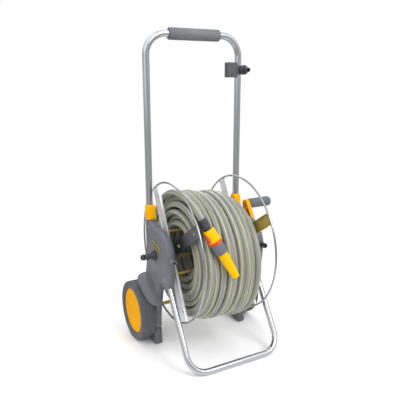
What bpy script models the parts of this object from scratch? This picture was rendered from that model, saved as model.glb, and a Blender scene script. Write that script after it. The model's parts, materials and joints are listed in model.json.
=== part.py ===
"""Garden hose reel cart: a wheeled tube frame carrying a hand-cranked reel of garden hose.

Axes: X runs along the reel axle towards the crank, -Y is the front (the stand side), Z is up.
Lengths are in metres.  Every object is one separate piece of the cart.
"""
import math

import bmesh
import bpy
from mathutils import Matrix, Vector

# ---------------------------------------------------------------- driving dimensions
GAP = 0.0003                      # clearance between neighbouring pieces
CUTTER_EXTRA = 0.012              # how far a cutter reaches past the wall it cuts

HANDLE_TOP_Z = 0.930              # centreline of the handle's cross bar
HANDLE_HALF_WIDTH = 0.1527        # centreline of each upright
HANDLE_TUBE_RADIUS = 0.0100
HANDLE_BEND_RADIUS = 0.060
HANDLE_LOWER_END_Z = 0.335        # with the handle pulled out fully
TUBE_WALL = 0.0013
GRIP_HALF_LENGTH = 0.083
GRIP_RADIUS = 0.0172

HOLDER_LOW_Z, HOLDER_HIGH_Z = 0.8095, 0.8545
CLAMP_LOW_Z, CLAMP_HIGH_Z = 0.8190, 0.8450   # the part that wraps round the tube
HOLDER_INNER_X = 0.1105
HOLDER_BOSS = Vector((0.1600, -0.0166, 0.832))
HOLDER_BOSS_LENGTH = 0.0135

REEL_CENTRE = Vector((0.0, -0.0785, 0.306))
FLANGE_RING_RADIUS = 0.208
FLANGE_WIRE_RADIUS = 0.0028
FLANGE_X = {"left": -0.1205, "right": 0.1085}
BAR_ANGLE = math.radians(117.5)   # first arm, from straight ahead (-Y) upwards
SECOND_BAR_ANGLE = math.radians(34.0)
BAR_WIDTH = 0.036
BAR_SHEET = 0.0015
BAR_FOLD = 0.0065
ROD_PITCH_RADIUS = 0.064
ROD_RADIUS = 0.0042
SHAFT_RADIUS = 0.0080
SHAFT_LEFT_X = -0.1635
HUB_RADIUS = 0.0220
OUTLET_X = -0.060

COIL_LEFT_X, COIL_RIGHT_X = -0.1040, 0.0840
COIL_INNER_RADIUS = 0.0880
COIL_OUTER_RADIUS = 0.1855
COIL_SAG = 0.0180                 # the loose turns hang on the rods, so the coil sits low
STRAND_PITCH = 0.0192
HOSE_RADIUS = 0.0091

WHEEL_CENTRE = Vector((0.0, 0.026, 0.094))   # the tyres clear the floor by 1 mm while parked
WHEEL_RADIUS = 0.093
WHEEL_INNER_X, WHEEL_OUTER_X = 0.1670, 0.2120
WHEEL_WIDTH = WHEEL_OUTER_X - WHEEL_INNER_X
HUBCAP_RADIUS = 0.0700
HUBCAP_RECESS = 0.0053            # how far its rim sits inside the tyre's outer face
AXLE_RADIUS = 0.0060
MUDGUARD_BORE = WHEEL_RADIUS + 0.0055
MUDGUARD_TOP = 0.1240             # radius of its upper skin about the wheel's axle
MUDGUARD_ANGLES = (25, 104)       # from straight ahead, upwards about the wheel's axle
MUDGUARD_REACH_X = {"left": 0.1960, "right": 0.1725}   # shallower under the turning crank

PANEL_SPLIT_X = HANDLE_HALF_WIDTH
PANEL_INNER_X, PANEL_OUTER_X = 0.1380, 0.1650
PANEL_TOP_Z, PANEL_BOTTOM_Z = 0.3945, 0.056
PANEL_EDGE = 0.0090
DISC_RADIUS = 0.0745
DOME_HEIGHT = 0.0050
COLLAR_TOP_Z = 0.440

STAND_HALF_WIDTH = 0.1495
STAND_TUBE_RADIUS = 0.0088
STAND_BAR_Y = -0.265
STAND_SOCKET = Vector((0.0, -0.128, 0.220))
STAND_PLUG_LENGTH = 0.038
STAND_BEND_RADIUS = 0.053

CRANK_ANGLE = math.radians(121.5)
CRANK_RADIUS = 0.1155
CRANK_INNER_X, CRANK_OUTER_X = 0.1775, 0.1905
CRANK_GRIP_LENGTH = 0.085
CRANK_HUB_RADIUS, CRANK_HEAD_RADIUS = 0.0160, 0.0150
CRANK_GRIP_RADIUS = 0.0158
CRANK_PIN_RADIUS = 0.0040

CONNECTOR_START = Vector((-0.1030, -0.2365, 0.4465))
CONNECTOR_END = Vector((-0.0285, -0.2930, 0.2905))
CORE_RADIUS = 0.0108
HOSE_PIECES = ("hose_coil", "hose_lead", "hose_nut", "connector_core", "connector_sleeve", "connector_ring",
               "nozzle_collar", "nozzle_tip")

X_AXIS = Vector((1.0, 0.0, 0.0))
SIDES = {"left": -1, "right": 1}
BAR_ALONG = Vector((0.0, -math.cos(BAR_ANGLE), math.sin(BAR_ANGLE)))
BAR_ACROSS = Vector((0.0, math.sin(BAR_ANGLE), math.cos(BAR_ANGLE)))
SECOND_BAR_ALONG = Vector((0.0, -math.cos(SECOND_BAR_ANGLE), math.sin(SECOND_BAR_ANGLE)))
SECOND_BAR_ACROSS = Vector((0.0, math.sin(SECOND_BAR_ANGLE), math.cos(SECOND_BAR_ANGLE)))
CRANK_ALONG = Vector((0.0, -math.cos(CRANK_ANGLE), math.sin(CRANK_ANGLE)))
STAND_LEG = Vector((0.0, STAND_SOCKET.y - STAND_BAR_Y, STAND_SOCKET.z - STAND_TUBE_RADIUS)).normalized()

# name: (base colour, metallic, roughness)
COLOURS = {
    "panel_plastic": ((0.150, 0.165, 0.180), 0.0, 0.62),
    "dark_plastic": ((0.060, 0.064, 0.070), 0.0, 0.55),
    "amber_plastic": ((0.880, 0.380, 0.010), 0.0, 0.42),
    "nozzle_plastic": ((0.930, 0.560, 0.005), 0.0, 0.40),
    "orange_plastic": ((0.780, 0.100, 0.035), 0.0, 0.40),
    "tyre_plastic": ((0.080, 0.086, 0.093), 0.0, 0.72),
    "tube_metal": ((0.520, 0.540, 0.570), 1.0, 0.28),
    "galvanised": ((0.640, 0.650, 0.660), 1.0, 0.34),
    "passivated": ((0.560, 0.420, 0.170), 1.0, 0.38),
    "hose_vinyl": ((0.280, 0.290, 0.250), 0.0, 0.50),
    "seal_rubber": ((0.020, 0.020, 0.022), 0.0, 0.75),
}

# ---------------------------------------------------------------- scene set-up
for old in list(bpy.data.objects):
    bpy.data.objects.remove(old, do_unlink=True)
SCENE = bpy.context.scene.collection
CUTTERS = bpy.data.collections.new("cutters")
SCENE.children.link(CUTTERS)
ROOT = bpy.data.objects.new("cart_origin", None)
SCENE.objects.link(ROOT)
MATERIALS = {}
PIECES = []


def make_materials():
    """One Principled material for each named colour."""
    for name, (colour, metallic, roughness) in COLOURS.items():
        material = bpy.data.materials.new(name)
        material.use_nodes = True
        shader = material.node_tree.nodes["Principled BSDF"]
        shader.inputs["Base Color"].default_value = (*colour, 1.0)
        shader.inputs["Metallic"].default_value = metallic
        shader.inputs["Roughness"].default_value = roughness
        MATERIALS[name] = material


# ---------------------------------------------------------------- shapes
def frame(origin, along, across=None):
    """A matrix whose Z runs along a direction, with X along across when that is given."""
    along = Vector(along).normalized()
    if across is None:
        turn = along.to_track_quat("Z", "Y").to_matrix()
    else:
        side = Vector(across).normalized()
        turn = Matrix((side, along.cross(side), along)).transposed()
    return Matrix.Translation(Vector(origin)) @ turn.to_4x4()


def turned(name, profile, origin, axis, steps=24, closed=False):
    """A turned solid: (along, radius) points with a Screw modifier about the axis."""
    points = [(radius, 0.0, along) for along, radius in reversed(profile)]
    edges = [(i, i + 1) for i in range(len(points) - 1)]
    if closed:
        edges.append((len(points) - 1, 0))
    mesh = bpy.data.meshes.new(name)
    mesh.from_pydata(points, edges, [])
    thing = bpy.data.objects.new(name, mesh)
    screw = thing.modifiers.new("turn", "SCREW")
    screw.steps = screw.render_steps = steps
    screw.use_merge_vertices = True
    screw.merge_threshold = 0.00002
    thing.matrix_world = frame(origin, axis)
    return thing


def cylinder(name, start, end, radius, steps=16):
    """A plain cylinder between two points."""
    start, end = Vector(start), Vector(end)
    mesh = bpy.data.meshes.new(name)
    work = bmesh.new()
    bmesh.ops.create_cone(work, cap_ends=True, segments=steps, radius1=radius, radius2=radius,
                          depth=(end - start).length)
    work.to_mesh(mesh)
    work.free()
    thing = bpy.data.objects.new(name, mesh)
    thing.matrix_world = frame((start + end) / 2, end - start)
    return thing


def block(name, low, high, low_end=(0.0, 0.0, 0.0)):
    """A box between two corners; low_end moves its lower face's (-x, -y, +y) sides outwards."""
    low, high = Vector(low), Vector(high)
    mesh = bpy.data.meshes.new(name)
    work = bmesh.new()
    bmesh.ops.create_cube(work, size=1.0)
    for vert in work.verts:
        upper = vert.co.z > 0
        right, rear = vert.co.x > 0, vert.co.y > 0
        vert.co = Vector([(high if c > 0 else low)[i] for i, c in enumerate(vert.co)]) - (low + high) / 2
        if not upper:
            vert.co.x += low_end[0] * (1 if right else -1)
            vert.co.y += low_end[2] if rear else -low_end[1]
    work.to_mesh(mesh)
    work.free()
    thing = bpy.data.objects.new(name, mesh)
    thing.matrix_world = Matrix.Translation((low + high) / 2)
    return thing


def rounded(thing, width, segments=2):
    """Round the sharp edges with a Bevel modifier."""
    bevel = thing.modifiers.new("round", "BEVEL")
    bevel.width = width
    bevel.segments = segments
    bevel.limit_method = "ANGLE"
    return thing


def pipe(name, path, radius, resolution=4):
    """A round tube or wire: a curve with a bevel and filled ends."""
    curve = bpy.data.curves.new(name, "CURVE")
    curve.dimensions = "3D"
    curve.bevel_depth = radius
    curve.bevel_resolution = resolution
    curve.use_fill_caps = True
    spline = curve.splines.new("POLY")
    spline.points.add(len(path) - 1)
    for point, place in zip(spline.points, path):
        point.co = (*place, 1.0)
    return bpy.data.objects.new(name, curve)


def as_mesh(draft):
    """The mesh that a curve object makes, its caps welded and its faces outward."""
    SCENE.objects.link(draft)
    bpy.context.view_layer.update()
    mesh = bpy.data.meshes.new_from_object(draft.evaluated_get(bpy.context.evaluated_depsgraph_get()))
    name = draft.name
    bpy.data.objects.remove(draft, do_unlink=True)
    work = bmesh.new()
    work.from_mesh(mesh)
    bmesh.ops.remove_doubles(work, verts=work.verts, dist=0.00001)
    bmesh.ops.recalc_face_normals(work, faces=work.faces)
    work.to_mesh(mesh)
    work.free()
    return bpy.data.objects.new(name, mesh)


def hollow_pipe(name, path, radius, wall, resolution):
    """A bent tube with an open bore from end to end."""
    path = [Vector(p) for p in path]
    past = [path[0] + (path[0] - path[1]).normalized() * CUTTER_EXTRA]
    past += path + [path[-1] + (path[-1] - path[-2]).normalized() * CUTTER_EXTRA]
    bore = as_mesh(pipe(name + "_bore", past, radius - wall, resolution))
    return change(as_mesh(pipe(name, path, radius, resolution)), "DIFFERENCE", [bore])


def plate(name, outline, thickness, matrix, edge=0.0):
    """A flat plate from a closed outline, as a mesh, with rounded edges when edge is given."""
    curve = bpy.data.curves.new(name, "CURVE")
    curve.dimensions = "2D"
    curve.fill_mode = "BOTH"
    curve.extrude = thickness / 2 - edge
    curve.bevel_depth = edge
    curve.bevel_resolution = 1
    curve.offset = -edge
    spline = curve.splines.new("POLY")
    spline.points.add(len(outline) - 1)
    spline.use_cyclic_u = True
    for point, place in zip(spline.points, outline):
        point.co = (place[0], place[1], 0.0, 1.0)
    thing = as_mesh(bpy.data.objects.new(name, curve))
    thing.matrix_world = matrix
    return thing


def ring(name, radius, wire, origin, axis, steps, wire_steps):
    """A closed wire ring."""
    bpy.ops.mesh.primitive_torus_add(major_radius=radius, minor_radius=wire, major_segments=steps,
                                     minor_segments=wire_steps)
    added = bpy.context.object
    thing = bpy.data.objects.new(name, added.data)
    bpy.data.objects.remove(added, do_unlink=True)
    thing.matrix_world = frame(origin, axis)
    return thing


def arc(centre, radius, first, last, count):
    """Points on an arc in a plane, angles in degrees."""
    points = []
    for k in range(count):
        angle = math.radians(first + (last - first) * k / (count - 1))
        points.append((centre[0] + radius * math.cos(angle), centre[1] + radius * math.sin(angle)))
    return points


def rounded_path(corners, bend_radius, arc_steps):
    """A polyline through corner points with each inner corner replaced by an arc."""
    corners = [Vector(c) for c in corners]
    path = [corners[0]]
    for before, corner, after in zip(corners, corners[1:], corners[2:]):
        to_before = (before - corner).normalized()
        to_after = (after - corner).normalized()
        half = to_before.angle(to_after) / 2
        centre = corner + (to_before + to_after).normalized() * bend_radius / math.sin(half)
        first = corner + to_before * bend_radius / math.tan(half) - centre
        last = corner + to_after * bend_radius / math.tan(half) - centre
        sweep = first.angle(last)
        for k in range(arc_steps + 1):
            t = k / arc_steps
            blend = first * math.sin((1 - t) * sweep) + last * math.sin(t * sweep)
            path.append(centre + blend / math.sin(sweep))
    path.append(corners[-1])
    return path


def smooth_path(points, pieces):
    """Points on a smooth curve through the given ones."""
    points = [Vector(p) for p in points]
    points = [points[0] * 2 - points[1]] + points + [points[-1] * 2 - points[-2]]
    path = []
    for a, b, c, d in zip(points, points[1:], points[2:], points[3:]):
        for k in range(pieces):
            t = k / pieces
            path.append(0.5 * (2 * b + (c - a) * t + (2 * a - 5 * b + 4 * c - d) * t * t
                               + (3 * b - a - 3 * c + d) * t ** 3))
    return path + [points[-2]]


def around_reel(x, radius, degrees):
    """A point at a radius and angle about the reel axis (0 is straight ahead, 90 is up)."""
    angle = math.radians(degrees)
    return REEL_CENTRE + Vector((x, -radius * math.cos(angle), radius * math.sin(angle)))


# ---------------------------------------------------------------- pieces
def piece(thing, material):
    """Add a finished shape to the cart as one named piece."""
    thing.data.materials.clear()
    thing.data.materials.append(MATERIALS[material])
    SCENE.objects.link(thing)
    thing.parent = ROOT
    PIECES.append(thing)
    return thing


def change(thing, operation, tools):
    """Join or cut a shape with hidden helper shapes, as exact Boolean modifiers."""
    for tool in tools:
        if tool.name not in CUTTERS.objects:
            CUTTERS.objects.link(tool)
            tool.hide_render = True
            tool.display_type = "WIRE"
            tool.parent = ROOT
        step = thing.modifiers.new(tool.name, "BOOLEAN")
        step.operation = operation
        step.solver = "EXACT"
        step.object = tool
    return thing


def build_handle():
    """The sliding U tube, its grip and the hose-end holder clipped to the right upright."""
    w, top = HANDLE_HALF_WIDTH, HANDLE_TOP_Z
    corners = [(-w, 0, HANDLE_LOWER_END_Z), (-w, 0, top), (w, 0, top), (w, 0, HANDLE_LOWER_END_Z)]
    path = rounded_path(corners, HANDLE_BEND_RADIUS, 8)
    piece(hollow_pipe("handle_tube", path, HANDLE_TUBE_RADIUS, TUBE_WALL, 5), "tube_metal")
    half, bore, lip = GRIP_HALF_LENGTH, HANDLE_TUBE_RADIUS + GAP, 0.003
    grip = [(-half, bore), (-half, GRIP_RADIUS - lip), (lip - half, GRIP_RADIUS), (half - lip, GRIP_RADIUS),
            (half, GRIP_RADIUS - lip), (half, bore)]
    piece(turned("handle_grip", grip, (0, 0, top), X_AXIS, closed=True), "panel_plastic")

    clamp = cylinder("holder_clip", (w, 0, CLAMP_LOW_Z), (w, 0, CLAMP_HIGH_Z), 0.0162, 20)
    arm = block("holder_arm", (HOLDER_INNER_X, -0.0130, HOLDER_LOW_Z),
                (w - HANDLE_TUBE_RADIUS, 0.0110, HOLDER_HIGH_Z))
    hole = cylinder("holder_hole", (w, 0, HOLDER_LOW_Z - CUTTER_EXTRA),
                    (w, 0, HOLDER_HIGH_Z + CUTTER_EXTRA), bore)
    change(clamp, "UNION", [rounded(arm, 0.0020, 1)])
    piece(change(clamp, "DIFFERENCE", [hole]), "panel_plastic")
    end = HOLDER_BOSS_LENGTH
    boss = [(0, 0), (0, 0.0145), (end - 0.0025, 0.0145), (end, 0.0120), (end, 0)]
    piece(turned("holder_boss", boss, HOLDER_BOSS, (0, -1, 0)), "dark_plastic")
    stub = [(0, 0), (0, 0.0070), (0.018, 0.0070), (0.018, 0.0045), (0.006, 0.0045), (0.006, 0)]
    start = HOLDER_BOSS - Vector((0, end + GAP, 0))
    piece(turned("holder_stub", stub, start, (0, -1, 0), 16), "dark_plastic")


def panel_outline():
    """The side panel's shape in (y, z), counter-clockwise from the rear of its neck."""
    shape = [(0.0122, 0.2700), (0.0122, PANEL_TOP_Z), (-0.0180, PANEL_TOP_Z)]
    shape += [(-0.0310, 0.3890), (-0.0480, 0.3815)]
    shape += arc((REEL_CENTRE.y, REEL_CENTRE.z), DISC_RADIUS, 93, 193, 9)
    # the front lower corner carries the stand's socket, square to the stand leg
    shape += [(-0.1500, 0.2720), (-0.1465, 0.2460), (-0.1418, 0.2234), (-0.1192, 0.2088), (-0.1060, 0.2200)]
    # underside, then the leg
    shape += [(-0.0950, 0.2215), (-0.0850, 0.2130), (-0.0745, 0.1970), (-0.0665, 0.1760), (-0.0595, 0.1480),
              (-0.0535, 0.1200), (-0.0500, 0.0950), (-0.0495, PANEL_BOTTOM_Z), (0.0122, PANEL_BOTTOM_Z)]
    # the boss around the wheel axle and the root of the mudguard
    shape += [(0.0270, 0.0720), (0.0420, 0.0850), (0.0460, 0.1000), (0.0400, 0.1250), (0.0350, 0.1600),
              (0.0320, 0.1850), (0.0260, 0.2120), (0.0170, 0.2400)]
    return shape


def mudguard(name, side):
    """The rounded lobe over the top front of the tyre: a squarish dome bent round the axle."""
    work = bmesh.new()
    bmesh.ops.create_uvsphere(work, u_segments=28, v_segments=14, radius=1.0)
    first, last = MUDGUARD_ANGLES
    reach = MUDGUARD_REACH_X[name] - PANEL_SPLIT_X
    for vert in work.verts:
        out, sweep, up = (math.copysign(abs(c) ** power, c) for c, power in zip(vert.co, (0.70, 0.85, 0.70)))
        angle = math.radians((first + last) / 2 + (last - first) / 2 * sweep)
        radius = MUDGUARD_BORE + (MUDGUARD_TOP - MUDGUARD_BORE) * up
        x = (PANEL_SPLIT_X + reach * out) * side
        vert.co = WHEEL_CENTRE + Vector((x, -radius * math.cos(angle), radius * math.sin(angle)))
    mesh = bpy.data.meshes.new(f"mudguard_{name}")
    bmesh.ops.recalc_face_normals(work, faces=work.faces)
    work.to_mesh(mesh)
    work.free()
    lobe = bpy.data.objects.new(f"mudguard_{name}", mesh)
    well = WHEEL_CENTRE + X_AXIS * 0.10 * side, WHEEL_CENTRE + X_AXIS * 0.25 * side
    return change(lobe, "DIFFERENCE", [cylinder(f"wheel_well_{name}", *well, MUDGUARD_BORE, 48)])


def build_panels(name, side):
    """The two shells of one side panel, split through the middle of the handle tube."""
    w = HANDLE_HALF_WIDTH * side
    socket = Vector((STAND_HALF_WIDTH * side, STAND_SOCKET.y, STAND_SOCKET.z))
    wheel = Vector((PANEL_SPLIT_X * side, WHEEL_CENTRE.y, WHEEL_CENTRE.z))
    shaft = Vector((PANEL_SPLIT_X * side, REEL_CENTRE.y, REEL_CENTRE.z))
    reach = X_AXIS * 0.030
    holes = [
        cylinder(f"handle_bore_{name}", (w, 0, PANEL_BOTTOM_Z - CUTTER_EXTRA),
                 (w, 0, PANEL_TOP_Z + CUTTER_EXTRA), HANDLE_TUBE_RADIUS + GAP),
        cylinder(f"stand_bore_{name}", socket - STAND_LEG * 0.030,
                 socket + STAND_LEG * (STAND_PLUG_LENGTH + 0.002), STAND_TUBE_RADIUS + GAP),
        cylinder(f"axle_bore_{name}", wheel - reach, wheel + reach, AXLE_RADIUS + GAP),
        cylinder(f"shaft_bore_{name}", shaft - reach, shaft + reach, SHAFT_RADIUS + GAP),
    ]
    middle = (PANEL_INNER_X + PANEL_OUTER_X) / 2
    thickness = PANEL_OUTER_X - PANEL_INNER_X
    for layer, sign in (("outer", 1), ("inner", -1)):
        shell = plate(f"side_panel_{layer}_{name}", panel_outline(), thickness,
                      frame((middle * side, 0, 0), X_AXIS, (0, 1, 0)), PANEL_EDGE)
        if sign > 0:
            dome = [(-0.004, 0), (-0.004, 0.0660), (0.0002, 0.0660), (0.0022, 0.0560), (0.0040, 0.0380),
                    (DOME_HEIGHT, 0.0200), (DOME_HEIGHT, 0)]
            centre = Vector((PANEL_OUTER_X * side, REEL_CENTRE.y, REEL_CENTRE.z))
            disc = turned(f"dome_{name}", dome, centre, (side, 0, 0), 28)
            change(shell, "UNION", [disc, mudguard(name, side)])
        near = (PANEL_SPLIT_X + sign * GAP / 2) * side
        far = near - 0.060 * sign * side
        other_half = block(f"other_half_{layer}_{name}", (min(near, far), -0.20, 0.0),
                           (max(near, far), 0.10, 0.45))
        piece(change(shell, "DIFFERENCE", [other_half] + holes), "panel_plastic")


def build_side_fittings(name, side):
    """The lock collar, foot, storage stub and badge plate of one side."""
    w = HANDLE_HALF_WIDTH * side
    inner, outer = sorted((w - 0.0137 * side, w + 0.0117 * side))
    collar = block(f"lock_collar_{name}", (inner, -0.0142, PANEL_TOP_Z + GAP), (outer, 0.0119, COLLAR_TOP_Z),
                   (0.0, 0.0060, 0.0))
    bore = cylinder(f"collar_bore_{name}", (w, 0, PANEL_TOP_Z - CUTTER_EXTRA),
                    (w, 0, COLLAR_TOP_Z + CUTTER_EXTRA), HANDLE_TUBE_RADIUS + GAP)
    piece(change(rounded(collar, 0.0050), "DIFFERENCE", [bore]), "amber_plastic")
    foot = block(f"foot_{name}", (w - 0.0130, -0.0490, 0.0), (w + 0.0120, 0.0122, PANEL_BOTTOM_Z - GAP),
                 (0.0005, 0.0040, -0.0010))
    piece(rounded(foot, 0.0060, 3), "dark_plastic")
    stub = [(0, 0), (0, 0.0075), (0.019, 0.0075), (0.019, 0.0045), (0.005, 0.0045), (0.005, 0)]
    start = (0.1535 * side, REEL_CENTRE.y - DISC_RADIUS - 0.0012, 0.310)
    piece(turned(f"storage_stub_{name}", stub, start, (0, -1, 0), 16),
          "panel_plastic" if side < 0 else "dark_plastic")
    tilt = math.radians(10)
    plate_x = (PANEL_OUTER_X + DOME_HEIGHT + 0.0012) * side
    half_length, half_width = 0.0270, 0.0062
    outline = (arc((half_length - half_width, 0), half_width, -90, 90, 7)
               + arc((half_width - half_length, 0), half_width, 90, 270, 7))
    badge = plate(f"badge_plate_{name}", outline, 0.0016,
                  frame((plate_x, REEL_CENTRE.y - 0.004, REEL_CENTRE.z + 0.029), X_AXIS,
                        (0, math.cos(tilt), math.sin(tilt))), 0.0003)
    piece(badge, "amber_plastic")


def build_stand():
    """The bent stand tube that plugs into both panels."""
    top = STAND_SOCKET + STAND_LEG * STAND_PLUG_LENGTH
    w, z = STAND_HALF_WIDTH, STAND_TUBE_RADIUS
    corners = [(-w, top.y, top.z), (-w, STAND_BAR_Y, z), (w, STAND_BAR_Y, z), (w, top.y, top.z)]
    path = rounded_path(corners, STAND_BEND_RADIUS, 8)
    piece(hollow_pipe("stand_tube", path, STAND_TUBE_RADIUS, TUBE_WALL, 4), "tube_metal")


def build_wheels():
    """The through axle with a tyre, rim, hubcap and axle nut on each end."""
    end = X_AXIS * (WHEEL_OUTER_X - HUBCAP_RECESS - 0.0085)
    piece(cylinder("wheel_axle", WHEEL_CENTRE - end, WHEEL_CENTRE + end, AXLE_RADIUS), "passivated")
    width, seat, bore = WHEEL_WIDTH, HUBCAP_RADIUS + 0.0004, AXLE_RADIUS + GAP
    tyre = [(0, seat), (0, WHEEL_RADIUS - 0.006), (0.0015, WHEEL_RADIUS - 0.002), (0.006, WHEEL_RADIUS),
            (width - 0.006, WHEEL_RADIUS), (width - 0.0015, WHEEL_RADIUS - 0.002),
            (width, WHEEL_RADIUS - 0.006), (width, seat)]
    wall = seat - 0.0040
    face = width - HUBCAP_RECESS
    rim = [(0.001, bore), (0.001, 0.0150), (0.016, 0.0150), (0.016, wall), (0.001, wall), (0.001, seat - GAP),
           (face - 0.004, seat - GAP), (face - 0.004, wall), (0.020, wall), (0.020, 0.0120),
           (face - 0.0145, 0.0120), (face - 0.0145, bore)]
    cap = [(face - 0.0037, 0), (face - 0.0037, HUBCAP_RADIUS), (face - 0.0005, HUBCAP_RADIUS),
           (face + 0.0005, HUBCAP_RADIUS - 0.003), (face + 0.0012, 0.030), (face + 0.0014, 0)]
    nut = [(face - 0.0142, bore), (face - 0.0142, 0.0105), (face - 0.0112, 0.0105), (face - 0.0100, bore)]
    for name, side in SIDES.items():
        centre = WHEEL_CENTRE + X_AXIS * WHEEL_INNER_X * side
        axis = X_AXIS * side
        piece(turned(f"tyre_{name}", tyre, centre, axis, 36, closed=True), "tyre_plastic")
        piece(turned(f"wheel_rim_{name}", rim, centre, axis, 24, closed=True), "dark_plastic")
        piece(turned(f"hubcap_{name}", cap, centre, axis, 36), "amber_plastic")
        piece(turned(f"axle_nut_{name}", nut, centre, axis, 12, closed=True), "galvanised")


def channel_bar(name, x, fold, along, across):
    """A folded sheet bar across a flange, its web at x and its edges folded towards fold."""
    half, sheet = BAR_WIDTH / 2, BAR_SHEET
    tip = FLANGE_RING_RADIUS - FLANGE_WIRE_RADIUS - 0.0010
    inner = math.copysign(sheet, fold)
    section = [(0, -half), (fold, -half), (fold, sheet - half), (inner, sheet - half), (inner, half - sheet),
               (fold, half - sheet), (fold, half), (0, half)]
    if fold < 0:
        section.reverse()
    turn = Matrix((X_AXIS, across, along)).transposed().to_4x4()
    matrix = Matrix.Translation(REEL_CENTRE + X_AXIS * x) @ turn
    bar = plate(name, section, 2 * math.sqrt(tip ** 2 - half ** 2), matrix)
    centre = REEL_CENTRE + X_AXIS * x
    hole = cylinder(name + "_hole", centre - X_AXIS * 0.020, centre + X_AXIS * 0.020, SHAFT_RADIUS + GAP)
    return change(bar, "DIFFERENCE", [hole])


def coil_profile():
    """(x, radius) loop of the wound hose: rounded strands outside, a clear drum inside."""
    middle, half = (COIL_LEFT_X + COIL_RIGHT_X) / 2, (COIL_RIGHT_X - COIL_LEFT_X) / 2
    strands = int(2 * half / STRAND_PITCH)
    step = 2 * half / strands
    profile = [(COIL_LEFT_X + 0.012, COIL_INNER_RADIUS), (COIL_LEFT_X, COIL_INNER_RADIUS + 0.018)]
    for k in range(strands):
        x = COIL_LEFT_X + step * k
        crest = COIL_OUTER_RADIUS - 0.018 * abs((x + step / 2 - middle) / half) ** 3
        rounding = ((0.1, 0.004), (0.5, 0.0), (0.9, 0.004))
        profile += [(x + step * share, crest - drop) for share, drop in rounding]
    return profile + [(COIL_RIGHT_X, COIL_INNER_RADIUS + 0.018), (COIL_RIGHT_X - 0.012, COIL_INNER_RADIUS)]


def build_reel():
    """Flanges, spreader rods, shaft, water outlet and the wound hose."""
    for name, x in FLANGE_X.items():
        inward = -SIDES[name]
        centre = REEL_CENTRE + X_AXIS * x
        wire = ring(f"flange_ring_{name}", FLANGE_RING_RADIUS, FLANGE_WIRE_RADIUS, centre, X_AXIS, 56, 6)
        piece(wire, "galvanised")
        offset = inward * GAP / 2
        first = channel_bar(f"flange_bar_a_{name}", x - offset, -inward * BAR_FOLD, BAR_ALONG, BAR_ACROSS)
        piece(first, "galvanised")
        second = channel_bar(f"flange_bar_b_{name}", x + offset, inward * BAR_FOLD, SECOND_BAR_ALONG,
                             SECOND_BAR_ACROSS)
        piece(second, "galvanised" if inward > 0 else "passivated")
        start = abs(x) + BAR_SHEET + 2 * GAP
        bore = SHAFT_RADIUS + GAP
        length = PANEL_INNER_X - GAP - start
        hub = [(0, bore), (0, 0.0145), (length - 0.003, 0.0145), (length - 0.003, HUB_RADIUS),
               (length, HUB_RADIUS), (length, bore)]
        hub_start = REEL_CENTRE - X_AXIS * start * inward
        piece(turned(f"hub_bush_{name}", hub, hub_start, X_AXIS * -inward, 20, True), "dark_plastic")
    start, stop = FLANGE_X["left"] + BAR_SHEET + 2 * GAP, FLANGE_X["right"] - BAR_SHEET - 2 * GAP
    rods = {"upper": BAR_ANGLE, "front": SECOND_BAR_ANGLE, "lower": BAR_ANGLE - math.pi,
            "rear": SECOND_BAR_ANGLE - math.pi}
    for label, turn in rods.items():
        angle = math.degrees(turn)
        piece(cylinder(f"spreader_rod_{label}", around_reel(start, ROD_PITCH_RADIUS, angle),
                       around_reel(stop, ROD_PITCH_RADIUS, angle), ROD_RADIUS, 12), "passivated")
    length = CRANK_OUTER_X - SHAFT_LEFT_X
    shaft = [(0, 0.0058), (0, SHAFT_RADIUS), (length, SHAFT_RADIUS), (length, 0.0058)]
    shaft_start = REEL_CENTRE + X_AXIS * SHAFT_LEFT_X
    piece(turned("reel_shaft", shaft, shaft_start, X_AXIS, 20, closed=True), "galvanised")
    up = around_reel(0, 1, 22.5) - REEL_CENTRE
    outlet = [(0, 0), (0, 0.0125), (0.014, 0.0125), (0.016, 0.0095), (0.050, 0.0085), (0.050, 0.0060),
              (0.010, 0.0060), (0.010, 0)]
    piece(turned("shaft_outlet", outlet, REEL_CENTRE + X_AXIS * OUTLET_X + up * (SHAFT_RADIUS + GAP), up, 16),
          "dark_plastic")
    coil_centre = REEL_CENTRE - Vector((0, 0, COIL_SAG))
    piece(turned("hose_coil", coil_profile(), coil_centre, X_AXIS, 36, closed=True), "hose_vinyl")


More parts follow.
